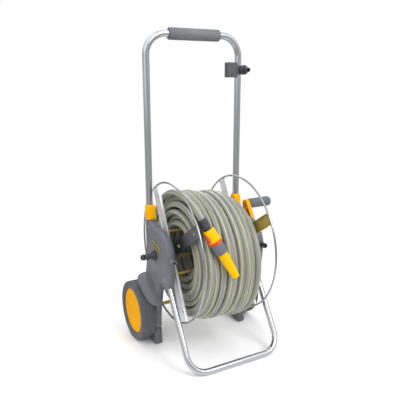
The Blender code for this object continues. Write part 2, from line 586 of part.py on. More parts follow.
def build_hose_end():
    """The hose's free end with its nut, quick connector and spray nozzle."""
    start = CONNECTOR_START
    run = (CONNECTOR_END - start).normalized()
    lead = [around_reel(-0.0950, 0.1650, 98), around_reel(-0.0972, 0.1690, 87),
            around_reel(-0.0995, 0.1785, 76), around_reel(-0.1025, 0.1905, 65),
            around_reel(-0.1050, 0.2015, 55), (-0.1065, -0.2117, 0.4663), (-0.1079, -0.2211, 0.4634),
            (-0.1076, -0.2294, 0.4578), start - run * 0.0045]
    piece(pipe("hose_lead", smooth_path(lead, 2) + [start - run * GAP], HOSE_RADIUS), "hose_vinyl")
    core = CORE_RADIUS
    nut = [(0, 0), (0, 0.0115), (0.003, 0.0125), (0.026, 0.0125), (0.028, 0.0115), (0.028, 0)]
    barrel = [(0.0283, 0), (0.0283, core), (0.0725, core), (0.0725, 0)]
    sleeve = [(0.0328, core + GAP), (0.0328, 0.0150), (0.0350, 0.0165), (0.0680, 0.0190), (0.0723, 0.0190),
              (0.0723, core + GAP)]
    band = [(0.0728, 0), (0.0728, 0.0184), (0.0764, 0.0184), (0.0764, 0)]
    collar = [(0.0767, 0), (0.0767, 0.0182), (0.0860, 0.0184), (0.1060, 0.0168), (0.1075, 0.0150),
              (0.1075, 0)]
    tip = [(0.1078, 0), (0.1078, 0.0135), (0.1130, 0.0145), (0.1500, 0.0128), (0.1780, 0.0108),
           (0.1826, 0.0100), (0.1826, 0.0050), (0.1740, 0.0030), (0.1740, 0)]
    piece(turned("hose_nut", nut, start, run, 20), "dark_plastic")
    piece(turned("connector_core", barrel, start, run, 16), "dark_plastic")
    piece(turned("connector_sleeve", sleeve, start, run, closed=True), "nozzle_plastic")
    piece(turned("connector_ring", band, start, run), "orange_plastic")
    piece(turned("nozzle_collar", collar, start, run), "panel_plastic")
    piece(turned("nozzle_tip", tip, start, run), "nozzle_plastic")


def build_inlet():
    """The fixed water inlet on the left panel, in line with the reel shaft."""
    face = REEL_CENTRE - X_AXIS * (PANEL_OUTER_X + DOME_HEIGHT + GAP)
    spigot = [(-0.0060, 0.0050), (-0.0060, 0.0078), (0, 0.0078), (0, 0.0100), (0.003, 0.0100),
              (0.010, 0.0080), (0.022, 0.0080), (0.024, 0.0095), (0.029, 0.0095), (0.031, 0.0080),
              (0.0435, 0.0080), (0.0445, 0.0070), (0.0445, 0.0050)]
    piece(turned("inlet_spigot", spigot, face, -X_AXIS, 20, closed=True), "dark_plastic")
    nut = [(0, 0.0104), (0, 0.0150), (0.0070, 0.0150), (0.0085, 0.0135), (0.0085, 0.0104)]
    piece(turned("inlet_nut", nut, face, -X_AXIS, 12, closed=True), "dark_plastic")
    piece(ring("inlet_seal", 0.0093, 0.0010, face - X_AXIS * 0.0365, X_AXIS, 16, 4), "seal_rubber")


def build_crank():
    """The crank arm on the shaft's right end, its pin and its turning grip."""
    middle = (CRANK_INNER_X + CRANK_OUTER_X) / 2
    outline = (arc((0, 0), CRANK_HUB_RADIUS, 90, 270, 9)
               + arc((CRANK_RADIUS, 0), CRANK_HEAD_RADIUS, -90, 90, 9))
    arm = plate("crank_arm", outline, CRANK_OUTER_X - CRANK_INNER_X,
                frame(REEL_CENTRE + X_AXIS * middle, X_AXIS, CRANK_ALONG), 0.0012)
    last = CRANK_RADIUS - 0.020
    pocket = [(0.024, -0.0110), (last, -0.0104), (last, 0.0104), (0.024, 0.0110)]
    pockets = [plate(f"crank_pocket_{k}", pocket, 0.0100,
                     frame(REEL_CENTRE + X_AXIS * x, X_AXIS, CRANK_ALONG))
               for k, x in enumerate((CRANK_INNER_X - 0.0005, CRANK_OUTER_X + 0.0005))]
    pin = CRANK_ALONG * CRANK_RADIUS + REEL_CENTRE
    low, high = X_AXIS * (CRANK_INNER_X - CUTTER_EXTRA), X_AXIS * (CRANK_OUTER_X + CUTTER_EXTRA)
    holes = [cylinder("crank_hub_hole", REEL_CENTRE + low, REEL_CENTRE + high, SHAFT_RADIUS + GAP),
             cylinder("crank_pin_hole", pin + low, pin + high, CRANK_PIN_RADIUS + GAP)]
    piece(change(arm, "DIFFERENCE", pockets + holes), "amber_plastic")
    head = 0.0035
    bolt = [(0, 0), (0, 0.0070), (head, 0.0070), (head, CRANK_PIN_RADIUS), (0.100, CRANK_PIN_RADIUS),
            (0.100, 0)]
    piece(turned("crank_pin", bolt, pin + X_AXIS * (CRANK_INNER_X - head - GAP), X_AXIS, 12), "galvanised")
    length, bore = CRANK_GRIP_LENGTH, CRANK_PIN_RADIUS + GAP
    grip = [(0, bore), (0, 0.0130), (0.003, CRANK_GRIP_RADIUS), (length - 0.008, CRANK_GRIP_RADIUS + 0.0006),
            (length - 0.002, 0.0125), (length, 0.0075), (length, bore)]
    piece(turned("crank_grip", grip, pin + X_AXIS * (CRANK_OUTER_X + 0.0008), X_AXIS, 20, closed=True),
          "panel_plastic")
    screw = [(0, 0), (0, 0.0110), (0.0025, 0.0110), (0.0040, 0.0080), (0.0040, 0)]
    screw_start = REEL_CENTRE + X_AXIS * (CRANK_OUTER_X + GAP)
    piece(turned("crank_screw", screw, screw_start, X_AXIS, 16), "galvanised")


def centre_on_floor():
    """Put the cart's origin at floor level in the middle of its footprint, the hose left out."""
    bpy.context.view_layer.update()
    graph = bpy.context.evaluated_depsgraph_get()
    corners = []
    for thing in PIECES:
        if thing.name not in HOSE_PIECES:
            solid = thing.evaluated_get(graph)
            corners += [thing.matrix_world @ v.co for v in solid.to_mesh().vertices]
            solid.to_mesh_clear()
    for axis in (0, 1):
        ROOT.location[axis] = -(min(c[axis] for c in corners) + max(c[axis] for c in corners)) / 2
    ROOT.location[2] = -min(c[2] for c in corners)
    bpy.context.view_layer.update()


make_materials()
build_handle()
for side_name, side_sign in SIDES.items():
    build_panels(side_name, side_sign)
    build_side_fittings(side_name, side_sign)
build_stand()
build_wheels()
build_reel()
build_hose_end()
build_inlet()
build_crank()
centre_on_floor()
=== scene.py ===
"""Garden hose reel cart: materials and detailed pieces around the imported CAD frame.

Lengths are in metres.  Shapes are given in the cart's own coordinates: X = 0 is midway between the
handle's uprights, Y = 0 is their centreline with -Y to the front, and Z = 0 is the floor.  ORIGIN,
read from the frame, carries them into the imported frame.
"""
import json
import math

import bmesh
import bpy
from mathutils import Matrix, Vector


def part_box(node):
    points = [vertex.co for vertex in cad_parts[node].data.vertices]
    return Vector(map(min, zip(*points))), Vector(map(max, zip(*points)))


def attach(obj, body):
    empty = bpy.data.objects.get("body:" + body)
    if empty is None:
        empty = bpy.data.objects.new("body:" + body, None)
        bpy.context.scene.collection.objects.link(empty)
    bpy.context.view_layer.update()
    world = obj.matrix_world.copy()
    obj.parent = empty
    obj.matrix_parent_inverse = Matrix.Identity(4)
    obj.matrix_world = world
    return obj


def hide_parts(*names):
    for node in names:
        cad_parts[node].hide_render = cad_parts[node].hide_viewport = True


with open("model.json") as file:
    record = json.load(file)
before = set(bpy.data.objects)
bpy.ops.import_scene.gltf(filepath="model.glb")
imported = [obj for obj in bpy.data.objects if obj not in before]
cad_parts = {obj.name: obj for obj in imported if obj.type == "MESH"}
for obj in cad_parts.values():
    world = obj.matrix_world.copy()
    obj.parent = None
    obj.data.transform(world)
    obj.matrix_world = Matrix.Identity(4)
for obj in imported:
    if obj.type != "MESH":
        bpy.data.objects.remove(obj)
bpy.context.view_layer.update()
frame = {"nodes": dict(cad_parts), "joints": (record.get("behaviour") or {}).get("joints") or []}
JOINTS = {joint["name"]: joint for joint in frame["joints"]}

# ---- places read from the frame
HANDLE_RADIUS = 0.0100
tube_low, tube_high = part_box("handle_tube")
ORIGIN = Vector(((tube_low.x + tube_high.x) / 2, (tube_low.y + tube_high.y) / 2, 0.0))
HANDLE_HALF_WIDTH = (tube_high.x - tube_low.x) / 2 - HANDLE_RADIUS
HANDLE_TOP_Z = tube_high.z - HANDLE_RADIUS
REEL = Vector(JOINTS["reel_spin"]["pos_m"]) - ORIGIN
WHEEL = Vector(JOINTS["wheel_left_spin"]["pos_m"]) - ORIGIN
CRANK_PIN = Vector(JOINTS["crank_grip_spin"]["pos_m"]) - ORIGIN
NOZZLE_RUN = Vector(JOINTS["spray_twist"]["axis"]).normalized()

X_AXIS = Vector((1.0, 0.0, 0.0))
SIDES = {"left": -1, "right": 1}
GAP = 0.0003  # clearance between pieces that touch in the real cart

# ---- camera and light
CAMERA_PLACE = Vector((-0.68934, -1.31349, 0.80425))
CAMERA_TARGET = Vector((0.0197, 0.0, 0.4326))
CAMERA_LENS = 43.65
SENSOR_WIDTH = 36.0
WHITE = (1, 1, 1, 1)
FLOOR_SIZE, FLOOR_Z = 60.0, -0.0005
FLOOR_BOUNCE = 0.50  # the floor's glow as the cart sees it; the camera sees 1
FADE_START, FADE_END = 0.25, 1.10  # distances over which the floor turns into its glow
SURROUND_STRENGTH = 1.05
BAND_SHARE = 0.85
# (position, grey) round the cart, as reflector boards stand round a studio table
BEARING_STOPS = ((0.0, 0.95), (0.20, 1.10), (0.235, 0.45), (0.30, 0.45), (0.335, 1.15), (0.49, 1.15),
                 (0.53, 0.28), (0.81, 0.28), (0.85, 1.15), (1.0, 0.95))
# (position, grey) from straight below to straight above
HEIGHT_STOPS = ((0.0, 0.75), (0.42, 0.70), (0.56, 0.62), (0.70, 1.05), (1.0, 1.60))
# name: (place, aimed at, size, power)
LIGHTS = {
    "key_light": ((0.7, -2.3, 2.1), (0, 0, 0.4), 1.2, 34.0),
    "fill_light": ((-2.2, -1.2, 1.3), (0, 0, 0.4), 1.6, 4.0),
    "rim_light": ((0.6, 1.9, 1.9), (0, 0, 0.5), 1.2, 16.0),
}


def build_camera():
    """The camera, in front of the cart, to its left and above its reel."""
    data = bpy.data.cameras.new("camera")
    data.lens, data.sensor_width = CAMERA_LENS, SENSOR_WIDTH
    camera = bpy.data.objects.new("camera", data)
    bpy.context.scene.collection.objects.link(camera)
    camera.location = CAMERA_PLACE + ORIGIN
    camera.rotation_euler = (CAMERA_TARGET - CAMERA_PLACE).to_track_quat("-Z", "Y").to_euler()
    bpy.context.scene.camera = camera


class Tree:
    """A short way to add and link the nodes of a tree."""

    def __init__(self, tree):
        self.nodes, self.links = tree.nodes, tree.links

    def add(self, kind, **values):
        """A node of a kind, with its inputs or else its settings by name."""
        node = self.nodes.new(f"ShaderNode{kind}")
        for key, value in values.items():
            socket = node.inputs.get(key.replace("_", " ").title())
            if socket is not None:
                socket.default_value = value
            else:
                setattr(node, key, value)
        return node

    def link(self, *pairs):
        for source, target in pairs:
            self.links.new(source, target)


def set_stops(ramp, stops):
    """Give a colour ramp its greys, each with a trace more blue."""
    elements = ramp.color_ramp.elements
    while len(elements) < len(stops):
        elements.new(0.5)
    for element, (position, value) in zip(elements, stops):
        element.position = position
        element.color = (value, value, value * 1.01, 1)


def build_floor():
    """A white floor that fades into the surround away from the cart, so that no horizon shows."""
    bpy.ops.mesh.primitive_plane_add(size=FLOOR_SIZE, location=(0, 0, FLOOR_Z))
    floor = bpy.context.object
    floor.name = "studio_floor"
    material = bpy.data.materials.new("floor_white")
    material.use_nodes = True
    tree = Tree(material.node_tree)
    shader = tree.nodes["Principled BSDF"]
    shader.inputs["Base Color"].default_value = (0.96, 0.96, 0.96, 1)
    shader.inputs["Roughness"].default_value = 0.9
    shader.inputs["Specular IOR Level"].default_value = 0.0
    glow = tree.add("Emission", color=WHITE)
    seen = tree.add("LightPath")
    strength = tree.add("MapRange", to_min=FLOOR_BOUNCE)
    place = tree.add("TexCoord")
    reach = tree.add("VectorMath", operation="LENGTH")
    fade = tree.add("MapRange", interpolation_type="SMOOTHSTEP", from_min=FADE_START, from_max=FADE_END)
    blend = tree.add("MixShader")
    tree.link((seen.outputs["Is Camera Ray"], strength.inputs["Value"]),
              (strength.outputs["Result"], glow.inputs["Strength"]),
              (place.outputs["Object"], reach.inputs[0]),
              (reach.outputs["Value"], fade.inputs["Value"]),
              (fade.outputs["Result"], blend.inputs["Fac"]),
              (shader.outputs[0], blend.inputs[1]),
              (glow.outputs[0], blend.inputs[2]),
              (blend.outputs[0], tree.nodes["Material Output"].inputs["Surface"]))
    floor.data.materials.append(material)


def build_surround():
    """Soft upright bands of light and shade all round, which the camera sees as plain white."""
    world = bpy.data.worlds.new("studio")
    bpy.context.scene.world = world
    world.use_nodes = True
    tree = Tree(world.node_tree)
    tree.nodes.clear()
    where = tree.add("TexCoord")
    split = tree.add("SeparateXYZ")
    height = tree.add("MapRange", from_min=-1.0)
    ramp = tree.add("ValToRGB")
    bearing = tree.add("Math", operation="ARCTAN2")
    whole = tree.add("MapRange", from_min=-math.pi, from_max=math.pi)
    bands = tree.add("ValToRGB")
    product = tree.add("Mix", data_type="RGBA", blend_type="MULTIPLY")
    product.inputs[0].default_value = BAND_SHARE
    surround = tree.add("Background", strength=SURROUND_STRENGTH)
    white = tree.add("Background", color=WHITE, strength=1.0)
    path = tree.add("LightPath")
    mix = tree.add("MixShader")
    out = tree.add("OutputWorld")
    set_stops(bands, BEARING_STOPS)
    set_stops(ramp, HEIGHT_STOPS)
    tree.link((where.outputs["Generated"], split.inputs[0]),
              (split.outputs["Z"], height.inputs["Value"]),
              (height.outputs["Result"], ramp.inputs["Fac"]),
              (split.outputs["Y"], bearing.inputs[0]),
              (split.outputs["X"], bearing.inputs[1]),
              (bearing.outputs[0], whole.inputs["Value"]),
              (whole.outputs["Result"], bands.inputs["Fac"]),
              (ramp.outputs["Color"], product.inputs[6]),
              (bands.outputs["Color"], product.inputs[7]),
              (product.outputs[2], surround.inputs["Color"]),
              (path.outputs["Is Camera Ray"], mix.inputs["Fac"]),
              (surround.outputs[0], mix.inputs[1]),
              (white.outputs[0], mix.inputs[2]),
              (mix.outputs[0], out.inputs["Surface"]))


def build_lights():
    """Three soft lights."""
    for name, (place, target, size, power) in LIGHTS.items():
        data = bpy.data.lights.new(name, "AREA")
        data.size, data.energy = size, power
        light = bpy.data.objects.new(name, data)
        bpy.context.scene.collection.objects.link(light)
        light.location = Vector(place) + ORIGIN
        light.rotation_euler = (Vector(target) - Vector(place)).to_track_quat("-Z", "Y").to_euler()


# ---- materials
class Nodes(Tree):
    """A short way to build a Principled material's node tree."""

    def __init__(self, name, colour, roughness, metallic=0.0):
        self.material = bpy.data.materials.new(name)
        self.material.use_nodes = True
        super().__init__(self.material.node_tree)
        self.shader = self.nodes["Principled BSDF"]
        self.shader.inputs["Base Color"].default_value = (*colour, 1)
        self.shader.inputs["Roughness"].default_value = roughness
        self.shader.inputs["Metallic"].default_value = metallic
        self.where = self.add("TexCoord")
        self.bumps = None

    def noise(self, scale, detail=2.0, source=None, stretch=None):
        node = self.add("TexNoise", scale=scale, detail=detail)
        start = source or self.where.outputs["Object"]
        if stretch:
            mapping = self.add("Mapping", scale=stretch)
            self.link((start, mapping.inputs["Vector"]))
            start = mapping.outputs["Vector"]
        self.link((start, node.inputs["Vector"]))
        return node.outputs["Fac"]

    def spread(self, value, low, high, first=0.35, last=0.65):
        node = self.add("MapRange", from_min=first, from_max=last, to_min=low, to_max=high)
        self.link((value, node.inputs["Value"]))
        return node.outputs["Result"]

    def math(self, operation, a, b=0.0):
        node = self.add("Math", operation=operation)
        for socket, item in zip(node.inputs, (a, b)):
            if isinstance(item, float):
                socket.default_value = item
            else:
                self.link((item, socket))
        return node.outputs[0]

    def mix(self, share, first, second):
        node = self.add("Mix", data_type="RGBA")
        self.link((share, node.inputs[0]))
        for socket, item in ((node.inputs[6], first), (node.inputs[7], second)):
            if isinstance(item, tuple):
                socket.default_value = (*item, 1)
            else:
                self.link((item, socket))
        return node.outputs[2]

    def set_colour(self, socket):
        self.link((socket, self.shader.inputs["Base Color"]))

    def set_roughness(self, socket):
        self.link((socket, self.shader.inputs["Roughness"]))

    def bump(self, height, strength, distance):
        """Add a bump over the ones before it."""
        node = self.add("Bump", strength=strength, distance=distance)
        self.link((height, node.inputs["Height"]))
        if self.bumps:
            self.link((self.bumps, node.inputs["Normal"]))
        self.bumps = node.outputs["Normal"]
        self.link((self.bumps, self.shader.inputs["Normal"]))

    def seam_free(self, turn, along):
        """A place on a tube's skin from its turn, in radians, and the length along it."""
        ring = self.add("CombineXYZ")
        self.link((self.math("COSINE", turn), ring.inputs["X"]), (self.math("SINE", turn), ring.inputs["Y"]),
                  (along, ring.inputs["Z"]))
        return ring.outputs[0]


def shade(colour, factor):
    """A colour made darker or lighter by a factor."""
    return tuple(min(1.0, c * factor) for c in colour)


def moulded_plastic(name, colour, roughness, grain, variation, shine):
    """Injection-moulded plastic: a fine spark-eroded grain, slow colour drift and uneven gloss."""
    made = Nodes(name, colour, roughness)
    drift = made.spread(made.noise(9.0, 3.0), 0.0, 1.0)
    made.set_colour(made.mix(drift, shade(colour, 1 - variation), shade(colour, 1 + variation)))
    made.set_roughness(made.spread(made.noise(60.0, 3.0), roughness - 0.06, roughness + 0.06))
    made.shader.inputs["Specular IOR Level"].default_value = shine
    made.bump(made.noise(900.0, 2.0), grain, 0.00012)
    made.bump(made.noise(26.0, 1.0), 0.05, 0.0004)
    return made.material


def drawn_tube(name, colour, roughness):
    """Polished tube: draw lines that follow the tube round its bends, and a few dull patches."""
    made = Nodes(name, colour, roughness, 1.0)
    split = made.add("SeparateXYZ")
    made.link((made.where.outputs["UV"], split.inputs[0]))
    skin = made.seam_free(made.math("MULTIPLY", split.outputs["X"], math.tau), split.outputs["Y"])
    lines = made.noise(1.0, 2.0, skin, (16.0, 16.0, 2.5))
    dull = made.spread(made.noise(1.0, 2.0, skin, (1.5, 1.5, 9.0)), 0.0, 1.0)
    made.set_colour(made.mix(dull, shade(colour, 0.96), shade(colour, 1.03)))
    made.set_roughness(made.spread(lines, roughness - 0.02, roughness + 0.02))
    made.bump(lines, 0.025, 0.00003)
    return made.material


def plated_wire(name, colour, roughness):
    """Plated wire and fixings: slow colour drift and a slightly uneven gloss."""
    made = Nodes(name, colour, roughness, 1.0)
    drift = made.spread(made.noise(14.0, 2.0), 0.0, 1.0)
    made.set_colour(made.mix(drift, shade(colour, 0.95), shade(colour, 1.04)))
    made.set_roughness(made.spread(made.noise(40.0, 2.0), roughness - 0.04, roughness + 0.04))
    made.bump(made.noise(120.0, 2.0), 0.05, 0.00004)
    return made.material


def zinc_sheet(name, colour, roughness, second=None, metallic=1.0):
    """Galvanised or passivated steel: crystal spangle with patches of a second tint."""
    made = Nodes(name, colour, roughness, metallic)
    cells = made.add("TexVoronoi", scale=240.0)
    made.link((made.where.outputs["Object"], cells.inputs["Vector"]))
    base = made.mix(made.spread(made.noise(22.0, 3.0), 0.0, 1.0), colour, second or shade(colour, 0.80))
    flake = made.mix(made.spread(cells.outputs["Distance"], 0.0, 0.25, 0.0, 0.8), base, shade(colour, 1.12))
    made.set_colour(flake)
    made.set_roughness(made.spread(cells.outputs["Distance"], roughness - 0.07, roughness + 0.10, 0.0, 0.9))
    made.bump(made.noise(300.0, 2.0), 0.12, 0.00006)
    return made.material


def hose_vinyl():
    """Grey vinyl over a fine knitted core, with four yellow stripes that wander round the hose."""
    grey, shadow, yellow = (0.325, 0.333, 0.322), (0.215, 0.221, 0.208), (0.620, 0.620, 0.240)
    made = Nodes("hose_grey_striped", grey, 0.38)
    split = made.add("SeparateXYZ")
    made.link((made.where.outputs["UV"], split.inputs[0]))
    along = split.outputs["Y"]
    # the hose turns slowly about itself, so the stripes wander from strand to strand
    drift = made.math("ADD", made.math("MULTIPLY", along, 0.13),
                      made.math("MULTIPLY", made.math("SINE", made.math("MULTIPLY", along, 1.9)), 0.16))
    around = made.math("ADD", split.outputs["X"], drift)
    threads, knit, stripes, stripe_edge = 22.0, 380.0, 4.0, (0.054, 0.084)
    diagonals = []
    for sign in (1.0, -1.0):
        phase = made.math("ADD", made.math("MULTIPLY", around, threads * math.tau),
                          made.math("MULTIPLY", along, sign * knit * math.tau / 2))
        diagonals.append(made.math("SINE", phase))
    weave = made.math("MAXIMUM", *diagonals)
    base = made.mix(made.spread(weave, 0.0, 1.0, 0.2, 0.95), grey, shadow)
    stripe_at = made.math("FRACT", made.math("MULTIPLY", around, stripes))
    off = made.math("ABSOLUTE", made.math("SUBTRACT", stripe_at, 0.5))
    made.set_colour(made.mix(made.spread(off, 1.0, 0.0, *stripe_edge), base, yellow))
    made.set_roughness(made.spread(made.noise(30.0, 2.0), 0.32, 0.46))
    made.bump(weave, 0.35, 0.00012)
    return made.material


def build_finishes():
    """Every finish on the cart by short name: its slot in the CAD and its material."""
    made = {
        "hose": ("hose_vinyl", hose_vinyl()),
        "tube": ("tube_metal", drawn_tube("tube_metal_upright", (0.560, 0.580, 0.595), 0.17)),
        "stand": ("tube_metal", drawn_tube("tube_metal_stand", (0.480, 0.490, 0.502), 0.16)),
        "wire": ("galvanised", plated_wire("wire_metal", (0.400, 0.408, 0.420), 0.26)),
        "zinc": ("galvanised", zinc_sheet("galvanised_sheet", (0.860, 0.870, 0.885), 0.34, metallic=0.15)),
        # a darker copy of the galvanised sheet: painted shade for the left flange's B bar, which lies in
        # shadow
        "shaded_zinc": ("galvanised", zinc_sheet("galvanised_painted_shade", (0.230, 0.230, 0.262), 0.36)),
        "brass": ("passivated", zinc_sheet("passivated_steel", (0.700, 0.520, 0.110), 0.38,
                                           second=(0.500, 0.390, 0.120), metallic=0.45)),
    }
    # finish: (slot, name, colour, roughness, grain, variation, shine)
    moulded = {
        "slate": ("panel_plastic", "slate_plastic", (0.150, 0.158, 0.176), 0.50, 0.5, 0.08, 0.4),
        "grip": ("panel_plastic", "grip_plastic", (0.172, 0.186, 0.200), 0.58, 0.8, 0.08, 0.4),
        "crank_grip": ("panel_plastic", "crank_grip_plastic", (0.136, 0.147, 0.158), 0.58, 0.8, 0.08, 0.4),
        "clip": ("panel_plastic", "holder_clip_plastic", (0.098, 0.104, 0.116), 0.52, 0.5, 0.08, 0.4),
        "dark": ("dark_plastic", "dark_plastic", (0.045, 0.048, 0.054), 0.45, 0.5, 0.08, 0.5),
        "foot": ("dark_plastic", "foot_plastic", (0.098, 0.105, 0.115), 0.55, 0.5, 0.08, 0.5),
        "amber": ("amber_plastic", "amber_plastic", (1.000, 0.480, 0.001), 0.46, 0.2, 0.03, 0.10),
        "cap": ("amber_plastic", "hubcap_amber_plastic", (0.830, 0.380, 0.001), 0.50, 0.2, 0.03, 0.02),
        "crank": ("amber_plastic", "crank_amber_plastic", (0.900, 0.390, 0.002), 0.42, 0.2, 0.04, 0.15),
        "badge": ("amber_plastic", "badge_yellow_plastic", (0.700, 0.520, 0.040), 0.36, 0.2, 0.08, 0.5),
        "yellow": ("nozzle_plastic", "nozzle_yellow_plastic", (0.950, 0.520, 0.001), 0.34, 0.1, 0.02, 0.12),
        "orange": ("orange_plastic", "orange_plastic", (0.760, 0.080, 0.022), 0.38, 0.2, 0.04, 0.3),
        "tyre": ("tyre_plastic", "tyre_plastic", (0.088, 0.094, 0.103), 0.62, 0.9, 0.10, 0.35),
        "rubber": ("seal_rubber", "seal_rubber", (0.015, 0.015, 0.016), 0.70, 0.5, 0.08, 0.5),
    }
    for finish, (slot, *looks) in moulded.items():
        made[finish] = (slot, moulded_plastic(*looks))
    return made


FINISHES = {}


# ---- shapes
def frame_at(origin, along, across=None):
    """A matrix whose Z runs along a direction, with X along across when that is given."""
    along = Vector(along).normalized()
    if across is None:
        turn = along.to_track_quat("Z", "Y").to_matrix()
    else:
        side = Vector(across).normalized()
        turn = Matrix((side, along.cross(side), along)).transposed()
    return Matrix.Translation(Vector(origin)) @ turn.to_4x4()


def mesh_thing(name, work, matrix=None):
    """An object from a bmesh, which is freed."""
    bmesh.ops.recalc_face_normals(work, faces=work.faces)
    mesh = bpy.data.meshes.new(name)
    work.to_mesh(mesh)
    work.free()
    thing = bpy.data.objects.new(name, mesh)
    if matrix is not None:
        thing.matrix_world = matrix
    return thing


def circle(steps):
    """Even angles round a circle, in radians."""
    return [math.tau * k / steps for k in range(steps)]


def turned(name, profile, origin, axis, steps=64, closed=False):
    """A turned solid from (along, radius) points; a closed profile leaves a bore."""
    work = bmesh.new()
    rings = []
    for along, radius in profile:
        if radius <= 0:
            rings.append([work.verts.new((0, 0, along))])
        else:
            places = [(radius * math.cos(a), radius * math.sin(a), along) for a in circle(steps)]
            rings.append([work.verts.new(place) for place in places])
    pairs = list(zip(rings, rings[1:])) + ([(rings[-1], rings[0])] if closed else [])
    for a, b in pairs:
        for k in range(steps):
            corners = [a[k % len(a)], a[(k + 1) % len(a)], b[(k + 1) % len(b)], b[k % len(b)]]
            unique = [v for i, v in enumerate(corners) if v not in corners[:i]]
            if len(unique) > 2:
                work.faces.new(unique)
    if not closed:
        for loop in (rings[0], rings[-1]):
            if len(loop) > 2:
                work.faces.new(loop)
    return mesh_thing(name, work, frame_at(origin, axis))


def soften(profile, radius, steps=3, closed=False):
    """Round the corners of a profile by a radius, leaving points on the axis alone."""
    count = len(profile)
    rounded = []
    for i, corner in enumerate(profile):
        here = Vector(corner)
        if not closed and i in (0, count - 1):
            rounded.append(tuple(here))
            continue
        before, after = Vector(profile[i - 1]), Vector(profile[(i + 1) % count])
        to_before, to_after = before - here, after - here
        cut = min(radius, to_before.length * 0.45, to_after.length * 0.45)
        start, end = here + to_before.normalized() * cut, here + to_after.normalized() * cut
        for k in range(steps + 1):
            t = k / steps
            rounded.append(tuple(start * (1 - t) ** 2 + here * 2 * t * (1 - t) + end * t * t))
    return rounded


def round_bar(name, start, end, radius, chamfer, steps):
    """A straight round bar between two points, with rounded rims."""
    length = (end - start).length
    profile = soften([(0, 0), (0, radius), (length, radius), (length, 0)], chamfer, 2)
    return turned(name, profile, start, end - start, steps)


def block(name, low, high):
    """A box between two corners."""
    low, high = Vector(low), Vector(high)
    work = bmesh.new()
    bmesh.ops.create_cube(work, size=1.0)
    for vert in work.verts:
        vert.co = Vector([(high if c > 0 else low)[i] for i, c in enumerate(vert.co)]) - (low + high) / 2
    return mesh_thing(name, work, Matrix.Translation((low + high) / 2))


def evaluated(thing):
    """A new mesh from an object in the scene, with its curve settings or modifiers applied."""
    bpy.context.view_layer.update()
    return bpy.data.meshes.new_from_object(thing.evaluated_get(bpy.context.evaluated_depsgraph_get()))


def swept(name, points, cyclic, **settings):
    """The mesh that a curve through points makes with its settings, its caps welded."""
    curve = bpy.data.curves.new(name, "CURVE")
    for key, value in settings.items():
        setattr(curve, key, value)
    spline = curve.splines.new("POLY")
    spline.points.add(len(points) - 1)
    spline.use_cyclic_u = cyclic
    for point, place in zip(spline.points, points):
        point.co = (*place, 1.0)
    draft = bpy.data.objects.new(name, curve)
    bpy.context.scene.collection.objects.link(draft)
    work = bmesh.new()
    work.from_mesh(evaluated(draft))
    bpy.data.objects.remove(draft, do_unlink=True)
    bmesh.ops.remove_doubles(work, verts=work.verts, dist=0.00001)
    return mesh_thing(name, work)


def pipe(name, path, radius, resolution, cyclic=False):
    """A round bar along a path, closed into a ring when it is cyclic."""
    return swept(name, path, cyclic, dimensions="3D", bevel_depth=radius, bevel_resolution=resolution,
                 use_fill_caps=not cyclic)


def plate(name, outline, thickness, matrix, edge=0.0):
    """A flat plate from a closed outline, with rounded edges when edge is given."""
    thing = swept(name, [(x, y, 0.0) for x, y in outline], True, dimensions="2D", fill_mode="BOTH",
                  extrude=thickness / 2 - edge, bevel_depth=edge, bevel_resolution=3, offset=-edge)
    thing.matrix_world = matrix
    return thing


def carve(thing, cuts):
    """Cut other shapes out of one by exact Booleans, applied at once."""
    scene = bpy.context.scene.collection
    scene.objects.link(thing)
    for tool in cuts:
        scene.objects.link(tool)
        step = thing.modifiers.new("cut", "BOOLEAN")
        step.operation, step.solver, step.object = "DIFFERENCE", "EXACT", tool
    mesh = evaluated(thing)
    thing.modifiers.clear()
    thing.data = mesh
    for tool in cuts:
        bpy.data.objects.remove(tool, do_unlink=True)
    scene.objects.unlink(thing)
    return thing


def press_in(thing, depth_at):
    """Press a turned skin towards its axis by depth_at(place, distance from the axis)."""
    for vert in thing.data.vertices:
        co = vert.co
        reach = math.hypot(co.x, co.y)
        depth = depth_at(co, reach)
        if depth is not None:
            scale = (reach - depth) / reach
            co.x *= scale
            co.y *= scale
    return thing


def arc(centre, radius, first, last, count):
    """Points on an arc in a plane, angles in degrees."""
    angles = [math.radians(first + (last - first) * k / (count - 1)) for k in range(count)]
    return [(centre[0] + radius * math.cos(a), centre[1] + radius * math.sin(a)) for a in angles]


def smooth_outline(points, rounds=2):
    """Cut the corners of a closed outline until it is smooth."""
    for _ in range(rounds):
        cut = []
        for i, point in enumerate(points):
            a, b = Vector(point), Vector(points[(i + 1) % len(points)])
            cut += [a.lerp(b, 0.22), a.lerp(b, 0.78)]
        points = cut
    return [tuple(p) for p in points]


def rounded_path(corners, bend_radius, arc_steps):
    """A polyline through corner points with each inner corner replaced by an arc."""
    corners = [Vector(c) for c in corners]
    path = [corners[0]]
    for before, corner, after in zip(corners, corners[1:], corners[2:]):
        to_before, to_after = (before - corner).normalized(), (after - corner).normalized()
        half = to_before.angle(to_after) / 2
        centre = corner + (to_before + to_after).normalized() * bend_radius / math.sin(half)
        first = corner + to_before * bend_radius / math.tan(half) - centre
        last = corner + to_after * bend_radius / math.tan(half) - centre
        sweep = first.angle(last)
        for k in range(arc_steps + 1):
            t = k / arc_steps
            spoke = (first * math.sin((1 - t) * sweep) + last * math.sin(t * sweep)) / math.sin(sweep)
            path.append(centre + spoke)
    path.append(corners[-1])
    return path


def smooth_path(points, pieces):
    """Points on a smooth curve through the given ones."""
    points = [Vector(p) for p in points]
    points = [points[0] * 2 - points[1]] + points + [points[-1] * 2 - points[-2]]
    path = []
    for a, b, c, d in zip(points, points[1:], points[2:], points[3:]):
        for k in range(pieces):
            t = k / pieces
            path.append(0.5 * (2 * b + (c - a) * t + (2 * a - 5 * b + 4 * c - d) * t * t
                               + (3 * b - a - 3 * c + d) * t ** 3))
    return path + [points[-2]]


